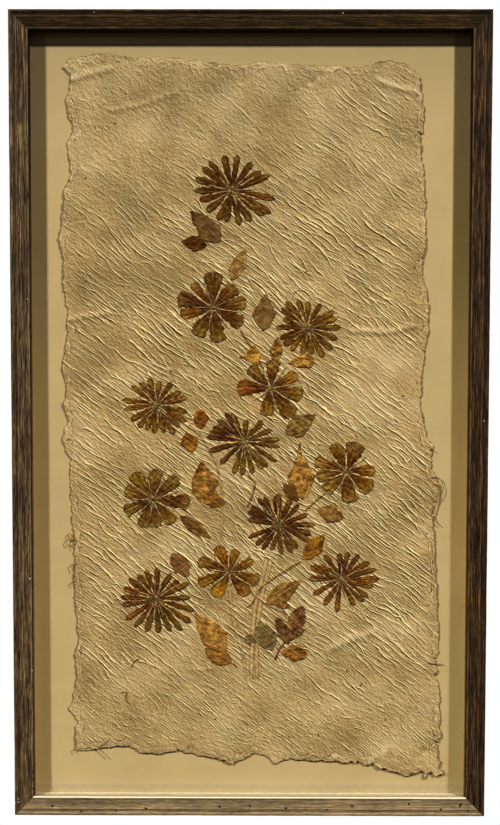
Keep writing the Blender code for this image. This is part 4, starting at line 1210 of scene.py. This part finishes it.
def add_flower(name, centre, petals, narrow):
    rng = np.random.default_rng(sum(map(ord, name)))
    builder = bmesh.new()
    tints = {}
    inner, waist, widest = (3.2, 0.42, 0.78) if narrow else (2.8, 0.26, 0.86)
    for number, (direction, length, width) in enumerate(petals):
        tone = number + 1
        shade = rng.uniform(0.8, 1.2)
        colour = np.array(seen(*nearest_colour(PETAL_COLOURS[name], direction)))
        tints[tone] = PETAL_WARMTH * colour * [shade, shade * rng.uniform(0.92, 1.1), shade, 1]
        width *= rng.uniform(0.8, 1.04) if narrow else rng.uniform(1.0, 1.12)
        shape = petal_shape(centre, direction, inner, length, width, waist, widest,
                            rng.uniform(-1.3, 1.3), ragged=0.3, blunt=4 if narrow else 6)
        strip(builder, 28, 12 if narrow else 20, shape, tone)
    for number, (direction, length, width) in enumerate(petals):
        after = petals[(number + 1) % len(petals)]
        middle = direction + ((after[0] - direction) % 360) / 2 + rng.uniform(-2, 2)
        tone = GLUE_TONE + number
        start = rng.uniform(2.0, 6.0) if narrow else 2.0
        reach = rng.uniform(0.4, 0.75) if narrow else rng.uniform(0.6, 0.95)
        tints[tone] = GLUE_PALE * rng.uniform(0.6, 1.0)
        if narrow and rng.uniform() < 0.2:
            continue
        shape = petal_shape(centre, middle, start, start + (length - start) * reach,
                            rng.uniform(0.9, 2.2), 0.5, 0.5, rng.uniform(-1.6, 1.6), ragged=1.2)
        strip(builder, 24, 6, shape, tone)
    for number in range(9 if narrow else 6):
        tone = DISC_TONE + number
        tints[tone] = DISC_BROWN * rng.uniform(0.4, 1.15)
        shape = petal_shape(centre, 40 * number + rng.uniform(-15, 15), 0.2, rng.uniform(3.5, 6.0),
                            rng.uniform(1.6, 2.8), 0.7, 0.5, rng.uniform(-1, 1), ragged=0.6)
        strip(builder, 10, 6, shape, tone)
    face_front(builder)
    flower = make_piece(name + "_petals", builder, petal_finish,
                        "narrow_petals" if narrow else "broad_petals", name)
    mesh = flower.data
    along, across, tone = read(mesh, "along"), read(mesh, "across"), read(mesh, "tone")
    points = points_of(mesh)
    x, z = points[:, 0], points[:, 2]
    petal = tone < GLUE_TONE
    crumple, facing = crumpled(x + 0.3 * tone, z, 2.8, 61)
    streak = swell(across * (1.6 if narrow else 3.2) + 3.3 * tone, along * 2.6, 68)
    ribs = 0.16 * np.cos(across * math.pi * (1.5 if narrow else 2.5) + tone) * (1 - across ** 2)
    ribs = np.where(petal, ribs, 0.7 * (1 - across ** 2) * np.sin(math.pi * along ** 0.6) - 0.15)
    edges = -0.34 * step_up(np.abs(across), 0.86, 1.0) - 0.3 * step_up(along, 0.97, 1.0)
    press(flower, PETAL_LIFT + ribs + 0.32 * crumple + edges + 0.05 * (tone % 3), PETAL_THICKNESS)

    colours = np.array([tints[int(round(value))] for value in tone])
    patch = swell(x / 3.1, z / 3.1, 65)
    near = 1 - step_up(along + 0.3 * patch, 0.2, 0.7)
    colours = mixed(colours, WINE, near * np.where(petal, 0.6 if narrow else 0.75, 0))
    green = (0.14 if narrow else 0.42) * step_up(patch, 0.05, 0.5)
    colours = mixed(colours, OLIVE, green * (1 - near) * petal)
    tip = step_up(along + 0.25 * swell(x / 4, z / 4, 69), 0.5, 1.05) * petal
    colours = mixed(colours, FADED, (0.22 if narrow else 0.36) * tip)
    rim = np.maximum(step_up(np.abs(across), 0.55, 1.0), step_up(along, 0.88, 0.99))
    worn = np.clip(0.75 + swell(x / 1.9, z / 1.9, 66), 0.1, 1)
    colours = mixed(colours, 0.3 * WINE, (0.7 if narrow else 0.5) * rim * worn * petal)
    root = (1 - step_up(along, 0.0, 0.2)) * step_up(swell(x / 1.5, z / 1.5, 67), -0.3, 0.4)
    colours = mixed(colours, GLUE_PALE * 0.7, 0.6 * root * petal)
    # Painted light and shade where the crumples face up or down, with streaks along the petals
    light = np.clip(1 + 0.7 * facing + np.where(petal, 0.55 * streak, 0.5 * patch), 0.35, 1.5)[:, None]
    colours = colours * light ** [0.75, 1.2, 1.2, 1.0]
    colours[:, 3] = 1
    store_tint(mesh, colours)


for flower_name, flower_centre, flower_petals in all_flowers():
    add_flower(flower_name, flower_centre, flower_petals, flower_name in NARROW_FLOWERS)

# ---------------------------------------------------------------------------------------------
# The leaves: thin dried leaves and leaflets, gold to dark brown, folded and cracked as they
# were pressed. Lobed leaves and sprigs are one piece each.
# ---------------------------------------------------------------------------------------------
# Each leaf: its lobes (tip, base, width, and how near its base it is broadest, 0.9 for the middle)
# in millimetres, its main and second colour in sRGB
LEAVES = [
    ([((-50.6, 177.2), (-25.5, 151.3), 18.2, 1.25)], (112, 82, 48), (84, 54, 26)),
    ([((-58.6, 151.5), (-37.2, 148.3), 13.2, 1.2)], (88, 52, 16), (64, 32, 8)),
    ([((-4.0, 145.3), (-15.6, 118.8), 12.8, 1.2)], (170, 132, 82), (138, 102, 44)),
    ([((13.2, 106.6), (11.2, 75.8), 19.0, 1.25)], (138, 104, 60), (110, 80, 42)),
    ([((-9.0, 52.5), (8.5, 55.0), 18.5, 2.6)], (196, 142, 62), (138, 90, 28)),
    ([((23.9, 70.2), (21.6, 49.0), 10.6, 1.25)], (146, 106, 42), (96, 66, 26)),
    ([((54.8, 50.9), (33.4, 47.5), 12.5, 0.55)], (178, 130, 62), (132, 92, 38)),
    ([((-42.6, 8.3), (-42.0, -9.1), 12.6, 0.9)], (158, 98, 28), (92, 44, 14)),
    ([((56.3, 3.9), (31.3, -13.1), 18.0, 1.3)], (140, 108, 56), (94, 64, 26)),
    ([((-54.6, -12.3), (-48.6, -28.3), 13.6, 0.9)], (162, 104, 28), (114, 66, 18)),
    ([((-42.2, -36.0), (-36.6, -74.5), 22.5, 1.3), ((-21.8, -74.0), (-41.0, -66.5), 11.3, 0.9)],
     (162, 116, 54), (118, 76, 34)),
    ([((42.8, -31.0), (45.5, -69.2), 22.5, 1.15), ((29.5, -55.5), (41.5, -70.5), 10.5, 1.1),
      ((43.0, -20.4), (42.6, -36.0), 3.4, 1.3)], (184, 132, 62), (120, 80, 32)),
    ([((80.3, -85.7), (58.5, -77.8), 14.8, 0.9)], (156, 116, 62), (116, 80, 40)),
    ([((-60.1, -84.2), (-34.2, -103.0), 10.4, 0.9)], (132, 98, 44), (96, 58, 26)),
    ([((64.7, -99.7), (47.3, -121.3), 13.9, 1.2)], (162, 110, 34), (108, 66, 20)),
    ([((-67.0, -116.6), (-53.0, -136.8), 14.8, 0.9)], (136, 88, 48), (116, 88, 56)),
    ([((43.7, -139.9), (14.4, -160.7), 15.5, 1.2), ((34.8, -163.5), (16.4, -157.6), 5.8, 0.9)],
     (158, 120, 64), (116, 80, 38)),
    ([((-47.8, -168.5), (-20.5, -202.6), 20.4, 1.3), ((-38.6, -199.5), (-15.4, -211.5), 17.0, 1.0)],
     (178, 128, 62), (132, 90, 40)),
    ([((46.3, -162.2), (35.2, -188.2), 14.8, 0.9), ((23.7, -172.0), (33.8, -195.4), 10.4, 0.9),
      ((47.6, -182.5), (29.8, -192.6), 7.8, 0.9), ((42.0, -185.0), (31.5, -178.0), 4.5, 0.9)],
     (130, 90, 54), (84, 54, 28)),
    ([((7.2, -175.2), (19.6, -201.0), 16.6, 1.2), ((-4.4, -190.0), (8.0, -193.0), 10.5, 0.9)],
     (128, 110, 74), (104, 84, 50)),
    ([((50.0, -204.6), (27.7, -202.5), 14.8, 0.9)], (156, 104, 46), (92, 52, 20)),
]
# Lobes with main colours of their own, by leaf and lobe
LOBE_COLOURS = {
    (11, 2): (128, 80, 26), (12, 2): (92, 54, 24), (12, 3): (150, 106, 56), (17, 2): (150, 98, 50),
    (18, 2): (146, 98, 48), (19, 2): (104, 72, 40), (19, 3): (112, 80, 46), (19, 4): (230, 160, 84),
}
# Stalks of the sprigs, by leaf: width in millimetres, and the line from the leaf down
STALK_TONE = 9
SPRIG_STALKS = {
    18: (2.2, [(-27.5, -193.1), (-23.2, -202.0), (-17.2, -209.0), (-10.7, -216.6)]),
    19: (2.0, [(32.7, -188.4), (29.6, -195.4), (25.7, -200.2), (22.0, -210.0)]),
}
# Leaves that dried soft and even: how strong their painted light and shade are beside the others'
SOFT_LEAVES = {1: 0.7, 3: 0.6, 4: 0.5, 7: 0.8, 8: 0.7, 9: 0.6, 10: 0.7, 13: 0.4, 16: 0.7, 17: 0.8,
               19: 0.9, 20: 0.55}
# Leaves with long wrinkles, and the way these run, in radians
LONG_WRINKLES = {7: 0.16, 9: 0.3, 11: 0.05, 14: -0.5, 17: 0.62, 18: -0.3, 20: 0.2, 21: 0.3}
LEAF_LIFT = 0.2
# What the leaves' colours are multiplied by, to come out as warm as they look
LEAF_WARMTH = np.array([0.88, 0.85, 0.68, 1.0])
leaf_finish = dried_finish("dried_leaf", (4.5, 1.6, 40), 0.3, 0.35, 0.46, patch_scale=190.0)


def leaf_shape(tip, base, width, bulge, seed):
    """The outline of a leaf's blade, from its base to its tip, with a torn, uneven edge."""
    tip, base = Vector(tip), Vector(base)
    side = (tip - base).normalized().orthogonal()
    fine = np.linspace(0, 1, 60)
    ragged = {hand: 0.22 * swell(fine * 5 + 3 * hand, fine * 0 + seed, 74)
              + 0.15 * swell(fine * 13 + 5 * hand, fine * 0 + seed + 0.5, 75) for hand in (-1, 1)}

    def shape(along, across):
        hand = 1 if across > 0 else -1
        half = width / 2 * max(math.sin(math.pi * (1 - along) ** bulge) ** 0.8, 0.1)
        half *= 1 + float(np.interp(along, fine, ragged[hand])) * min(abs(across) * 3, 1)
        return base.lerp(tip, along) + side * across * half

    return shape


def stalk_shape(line, width, taper=0.7):
    """A ribbon along a smooth curve through a line of points, from the first to the last."""
    points = np.array(line, float)
    steps = np.concatenate([[0], np.cumsum(np.hypot(*np.diff(points, axis=0).T))])
    steps /= steps[-1]
    fine = np.linspace(0, 1, 60)
    curve = np.column_stack([np.interp(fine, steps, points[:, 0]), np.interp(fine, steps, points[:, 1])])
    for _ in range(8):
        curve[1:-1] = (curve[:-2] + 2 * curve[1:-1] + curve[2:]) / 4
    heading = np.gradient(curve, axis=0)
    heading /= np.hypot(heading[:, 0], heading[:, 1])[:, None]

    def shape(along, across):
        x, z = (np.interp(along, fine, curve[:, axis]) for axis in (0, 1))
        dx, dz = (np.interp(along, fine, heading[:, axis]) for axis in (0, 1))
        half = width / 2 * (1 - (1 - taper) * along)
        return Vector((x - dz * across * half, z + dx * across * half))

    return shape


def add_leaf(number, lobes, colour, second):
    rng = np.random.default_rng(700 + number)
    builder = bmesh.new()
    for place, lobe in enumerate(lobes, start=1):
        strip(builder, 44, 28, leaf_shape(*lobe, rng.uniform(0, 6)), place)
    if number in SPRIG_STALKS:
        width, line = SPRIG_STALKS[number]
        strip(builder, 24, 4, stalk_shape(line, width), STALK_TONE)
    face_front(builder)
    node = f"leaf_{number:02d}"
    leaf = make_piece(node + "_blade", builder, leaf_finish, "dry_leaf", node)
    mesh = leaf.data
    along, across, tone = read(mesh, "along"), read(mesh, "across"), read(mesh, "tone")
    points = points_of(mesh)
    x, z = points[:, 0], points[:, 2]
    stretch, size = (3.5, 3.4) if number in LONG_WRINKLES else (1.6, 5.0)
    crumple, facing = crumpled(x + 5 * number, z, size, 71, slope=LONG_WRINKLES.get(number, 0.3),
                               stretch=stretch)
    pleat = swell(x / 7 + 1.7 * number, z / 5 + 0.3 * tone, 73) + 0.25 * swell(x / 2.5, z / 2.5, 70)
    crease = mound(pleat, 0, 0.07)
    hollow = mound(pleat, -0.24, 0.14)
    midrib = mound(across, 0, 0.09) * step_up(0.9 - along, 0, 0.3)
    edges = -0.34 * step_up(np.abs(across), 0.9, 1.0) - 0.3 * step_up(np.abs(along - 0.5), 0.47, 0.5)
    press(leaf, LEAF_LIFT + 0.5 * crumple + 0.35 * crease + 0.15 * midrib + edges + 0.1 * (tone % 3),
          PETAL_THICKNESS)

    main, dark = LEAF_WARMTH * seen(*colour), LEAF_WARMTH * seen(*second)
    own = np.tile(main, (len(x), 1))
    for place in range(1, len(lobes) + 1):
        if (number, place) in LOBE_COLOURS:
            own[np.abs(tone - place) < 0.5] = LEAF_WARMTH * seen(*LOBE_COLOURS[number, place])
    bright = np.minimum(own * [1.75, 1.65, 1.7, 1], [0.9, 0.62, 0.36, 1])
    patch = step_up(swell(x / 6 + 3 * number, z / 6, 75) + 0.5 * (0.5 - along), -0.5, 0.4)
    crisp = SOFT_LEAVES.get(number, 1.0)
    colours = mixed(dark, own, patch)
    # Painted shade where the crumples face down and in the hollows, and painted highlights where they face
    # up, on the creases' ridges and on the midrib
    shade = np.maximum(step_up(-facing, 0.1, 0.36), 0.8 * hollow)
    colours = mixed(colours, 0.45 * dark, shade * 0.66 * crisp)
    colours = mixed(colours, bright, step_up(facing, 0.08, 0.34) * 0.6 * crisp)
    shown = step_up(swell(x / 5, z / 5, 76), -0.5, 0.2)
    colours = mixed(colours, bright, np.maximum(crease, 0.6 * midrib) * shown * crisp)
    rim = step_up(np.abs(across), 0.75, 1.0) * np.clip(swell(x / 2.5, z / 2.5, 77) + 0.3, 0, 1)
    colours = mixed(colours, 0.5 * dark, 0.6 * rim)
    colours[:, 3] = 1
    store_tint(mesh, colours)


for leaf_number, leaf_parts in enumerate(LEAVES, start=1):
    add_leaf(leaf_number, *leaf_parts)

# ---------------------------------------------------------------------------------------------
# The stems: pale flattened stalks that gather at the foot of the bunch, and thin dark ones
# between flowers. They are glued flat, with a low round back, knots, and dark edges.
# ---------------------------------------------------------------------------------------------
# Stem: width in millimetres, colour in sRGB, and its line from the upper end down
PALE_STEM = (200, 164, 102)
THIN_STEM = (112, 80, 36)
STEMS = {
    "stem_1": (3.9, PALE_STEM, [(15.0, -118.0), (12.8, -131.0), (9.5, -142.5), (6.6, -152.0),
                                (4.9, -160.4), (2.9, -178.3), (2.3, -196.1), (1.4, -212.0), (1.6, -228.7)]),
    "stem_2": (3.7, PALE_STEM, [(18.6, -119.0), (16.6, -131.0), (13.5, -142.5), (10.8, -152.0),
                                (9.2, -160.4), (6.9, -178.3), (6.2, -196.1), (6.0, -212.0), (6.8, -228.7)]),
    "stem_3": (2.6, (190, 158, 102), [(-17.7, -139.4), (-16.8, -155.3), (-14.1, -174.7),
                                      (-10.2, -189.7), (-5.5, -205.1), (-2.6, -228.7)]),
    "stem_4": (2.2, (176, 142, 92), [(-54.6, -3.0), (-38.5, -19.5), (-28.6, -38.3), (-26.0, -51.8),
                                     (-23.9, -62.2), (-23.9, -84.1), (-24.7, -106.0)]),
    "stem_5": (1.4, THIN_STEM, [(65.4, -63.8), (61.1, -67.3), (53.3, -73.8), (47.4, -79.9)]),
    "stem_6": (1.4, THIN_STEM, [(-8.7, 76.6), (0.0, 63.1), (6.9, 52.5), (12.7, 40.9), (16.3, 30.9)]),
    "stem_7": (1.4, THIN_STEM, [(-2.5, -48.2), (4.9, -55.2), (2.3, -65.7), (-2.5, -77.1)]),
}
# A thin side branch: the stem it belongs to, its width and its line
SIDE_BRANCH = ("stem_2", 0.7, [(44.5, -123.5), (36.5, -127.5), (27.5, -133.5), (20, -138), (7, -148),
                               (6, -154), (0.5, -162), (-3, -163.5)])
BRANCH_TONE = 2
THIN_WIDTH = 2
stem_finish = dried_finish("dried_stem", (5.0, 1.5, 40), 0.3, 0.3, 0.5, fold=1.8)


def add_stem(name, width, colour, line):
    builder = bmesh.new()
    strip(builder, 90, 8, stalk_shape(line, width, taper=1.0), 1)
    branched_stem, branch_width, branch_line = SIDE_BRANCH
    if name == branched_stem:
        strip(builder, 60, 4, stalk_shape(branch_line, branch_width), BRANCH_TONE)
    face_front(builder)
    stem = make_piece(name + "_stalk", builder, stem_finish, "dry_stem", name)
    mesh = stem.data
    across, along, tone = read(mesh, "across"), read(mesh, "along"), read(mesh, "tone")
    thin = (tone == BRANCH_TONE) | (width < THIN_WIDTH)
    round_back = np.sqrt(np.clip(1 - across ** 2, 0, 1)) * width * np.where(thin, 0.3, 0.13)
    knots = 0.1 * swell(along * 40, across * 2, 81)
    tucked = 0.7 * (1 - step_up(np.minimum(along, 1 - along), 0.0, 0.05))
    press(stem, round_back + knots - 0.05 - tucked, PETAL_THICKNESS)
    colours = np.where(thin[:, None], np.array(seen(*THIN_STEM)), np.array(seen(*colour)))
    fading = step_up(np.abs(along - 0.5) + 0.15 * swell(along * 9, across, 83), 0.25, 0.5)
    colours = mixed(colours, seen(178, 146, 92), np.where(thin, 0, 0.5) * fading)
    edge = step_up(np.abs(across), 0.5, 0.9) * np.clip(0.75 + swell(along * 16, across, 82), 0, 1)
    colours = mixed(colours, seen(96, 62, 26), np.where(thin, 0.3, 0.85) * edge)
    colours[:, 3] = 1
    store_tint(mesh, colours)


for stem_name, stem_parts in STEMS.items():
    add_stem(stem_name, *stem_parts)

# ---------------------------------------------------------------------------------------------
# The sheet's loose bits: a few long fibres pulled free at its torn edge or left on its face,
# and dark husks caught in the pulp.
# ---------------------------------------------------------------------------------------------
# Fibre: width in millimetres, colour in sRGB, and its line from the thick end
FIBRES = [
    (0.7, (176, 142, 88), [(-152, -287.8), (-148.2, -288.7), (-132, -287.8), (-123.3, -296.2)]),
    (0.7, (186, 152, 98), [(-132.4, -286.9), (-126.3, -282.9), (-121.9, -279.3)]),
    (0.6, (170, 136, 84), [(-151.7, -291.8), (-153.4, -289.2), (-149.9, -285.6)]),
    (0.8, (104, 74, 34), [(-96.3, -208.6), (-100.7, -211.7), (-102.7, -216.5)]),
    (0.6, (96, 66, 30), [(154.9, -212), (162.1, -212.8), (168.2, -213.3)]),
    (0.6, (138, 106, 60), [(-111.2, -238.2), (-106.4, -237.7), (-107.7, -242.1), (-105.4, -247.9)]),
    (0.8, (226, 196, 142), [(34.2, 101.1), (36.8, 108.7), (41.9, 110.5), (47, 109.6), (50.5, 106.2)]),
    (1.0, (92, 60, 26), [(155.2, -25.9), (157.4, -26.4), (159.2, -27.7)]),
    (0.7, (156, 120, 66), [(156.1, -51.0), (160.6, -48.9), (165.1, -52.8), (166.9, -60.6), (164.2, -68.4),
                           (159.2, -71.8), (156.5, -67.5)]),
    (0.6, (132, 96, 48), [(157.9, -56.2), (162.4, -56.7), (163.8, -63.2), (159.7, -67.5)]),
    (0.8, (112, 78, 36), [(158.8, -74.4), (157.4, -81.4), (160.1, -88.3), (165.1, -92.6)]),
    (0.7, (226, 198, 146), [(157, -104.7), (159.7, -115.1), (156.5, -123.8), (158.8, -135),
                            (157.9, -148), (160.6, -157.6)]),
    (0.9, (172, 132, 64), [(-150.6, -104.8), (-154.4, -103), (-157.6, -104.2), (-159, -107.4),
                           (-157.2, -110.2), (-155, -108.6)]),
    (0.9, (154, 114, 52), [(-150.2, -106), (-153, -101.6), (-155.6, -99), (-157.4, -100.6), (-156, -102.8)]),
    (0.8, (160, 120, 58), [(-150.4, -107.2), (-153, -108.4), (-154, -111.4), (-151.8, -112.6)]),
    (0.8, (172, 132, 64), [(-150, -126), (-153.4, -125.4), (-155.2, -128), (-153.2, -130.2), (-154.2, -133)]),
    (0.7, (172, 132, 64), [(-150.6, -140), (-153.6, -141.2), (-155, -143.4), (-152.4, -145)]),
    (0.7, (120, 84, 42), [(-14.5, -124), (-3.5, -143.5), (6.5, -155), (18.5, -163.5), (32, -169.5)]),
]
FIBRE_LIFT = 0.3
HUSKS = [(-67.9, 41.0), (-71.5, -25.3), (2.7, -186.4), (47.8, 125.8), (96.2, -231.9), (-115.1, 250.9),
         (84.5, -219), (-140, 205), (-30, -262), (60, -275), (118, -262), (131, 20)]
for number, (width, tan_colour, line) in enumerate(FIBRES, start=1):
    builder = bmesh.new()
    strip(builder, 40, 4, stalk_shape(line, width, taper=0.5), number)
    face_front(builder)
    fibre = make_piece(f"loose_fibre_{number}", builder, stem_finish, "handmade_paper")
    fibre_across = read(fibre.data, "across")
    press(fibre, 0.3 * np.sqrt(np.clip(1 - fibre_across ** 2, 0, 1)) * width + FIBRE_LIFT,
          PETAL_THICKNESS)
    store_tint(fibre.data, np.tile(seen(*tan_colour), (len(fibre_across), 1)))


def speck_finish(name, roughness, dark, pale):
    """A speck's matt finish: mottled between two sRGB colours, with a fine rough surface."""
    speck = Finish(name, roughness=roughness)
    speck.colour(speck.ramp(speck.noise(speck.place, 1500.0), (0.3, seen(*dark)), (0.7, seen(*pale))))
    speck.bump((speck.noise(speck.place, 3000.0), 0.1 * MM, 0.5))
    return speck


def add_speck(builder, x, depth, z, radius, rng, wide, flat, tall):
    """A rounded speck at a place in millimetres from the frame's middle and the wall, turned at
    random. Its shape is radius times a number from `wide`, `flat`, and a number from `tall`."""
    spot = Vector((x, -depth, z + MIDDLE_Z / MM)) * MM
    squash = Matrix.Diagonal((rng.uniform(*wide), flat, rng.uniform(*tall), 1))
    swing = Matrix.Rotation(rng.uniform(0, math.pi), 4, "Y")
    bmesh.ops.create_icosphere(builder, subdivisions=3, radius=radius * MM,
                               matrix=Matrix.Translation(spot) @ swing @ squash)


husk_finish = speck_finish("dark_husk", 0.7, (44, 24, 8), (92, 60, 26))
husk_rng = np.random.default_rng(91)
husks = bmesh.new()
for husk_x, husk_z in HUSKS:
    husk_height = relief(np.array([husk_x]), np.array([husk_z]))[0][0]
    add_speck(husks, husk_x, PAPER_LEVEL + husk_height, husk_z, 1, husk_rng, (0.7, 1.2), 0.35, (0.4, 0.8))
make_piece("paper_husks", husks, husk_finish, "handmade_paper")

# ---------------------------------------------------------------------------------------------
# The rails' small damage: old worm holes stopped with dark wax in the bottom rail and along the
# lips, and pale chips where the stain is knocked off.
# ---------------------------------------------------------------------------------------------
# Places across the front, in millimetres from the frame's middle
WORM_HOLES = [
    (-170.2, -334.8), (-145.6, -339.6), (-115.3, -338.6), (-89.3, -336.8), (-25.8, -334.9), (0.5, -334.3),
    (31.6, -336.4), (67.0, -337.2), (137.8, -332.2), (165.4, -336.9), (181.8, -333.8), (182.6, -332.5),
    (188.3, -337.3), (187.5, -298.7), (187.5, -303.1), (187.5, -308.4), (187.5, -312.7), (-187.4, -305.0),
    (-187.4, -312.0), (-187.4, -319.9), (88.6, -334.1),
]
PALE_CHIPS = [
    (77.3, 339.6), (-130.6, 340.4), (-188.6, 101.6), (-187.3, -216.7), (-188.4, -137.0), (-200.6, -331.7),
    (-199.9, -328.7), (-201.6, -331.4), (-199.6, -331.6), (199.1, -1.1), (173.1, -326.3),
    (-132.9, -328.0), (201.1, -331.9),
]
WORM_RADIUS = 1.15
CHIP_RADIUS = 0.8
# The damage lies a little under the wood's face, and never stands further forward than this
SUNK = 0.1
FOREMOST = 29.4
wax_finish = speck_finish("dark_wax", 0.5, (26, 12, 5), (58, 36, 18))
chip_finish = speck_finish("bare_chip", 0.7, (168, 146, 108), (232, 218, 188))
HALF_SIZE = Vector((top_high[0], (top_high[2] - bottom_low[2]) / 2)) / MM
# The front of the moulding's section, from the outer arris to the lip
face_insets, face_depths = zip(*MOULDING[5:36])
damage_rng = np.random.default_rng(97)
for damage_name, spots, damage_finish, radius in (("worm_holes", WORM_HOLES, wax_finish, WORM_RADIUS),
                                                  ("pale_chips", PALE_CHIPS, chip_finish, CHIP_RADIUS)):
    damage = bmesh.new()
    for spot_x, spot_z in spots:
        inset = min(HALF_SIZE.x - abs(spot_x), HALF_SIZE.y - abs(spot_z))
        depth = min(np.interp(inset, face_insets, face_depths) - SUNK, FOREMOST)
        add_speck(damage, spot_x, depth, spot_z, radius, damage_rng, (0.8, 1.3), 0.4, (0.6, 1.0))
    make_piece(damage_name, damage, damage_finish, "rail_wood")
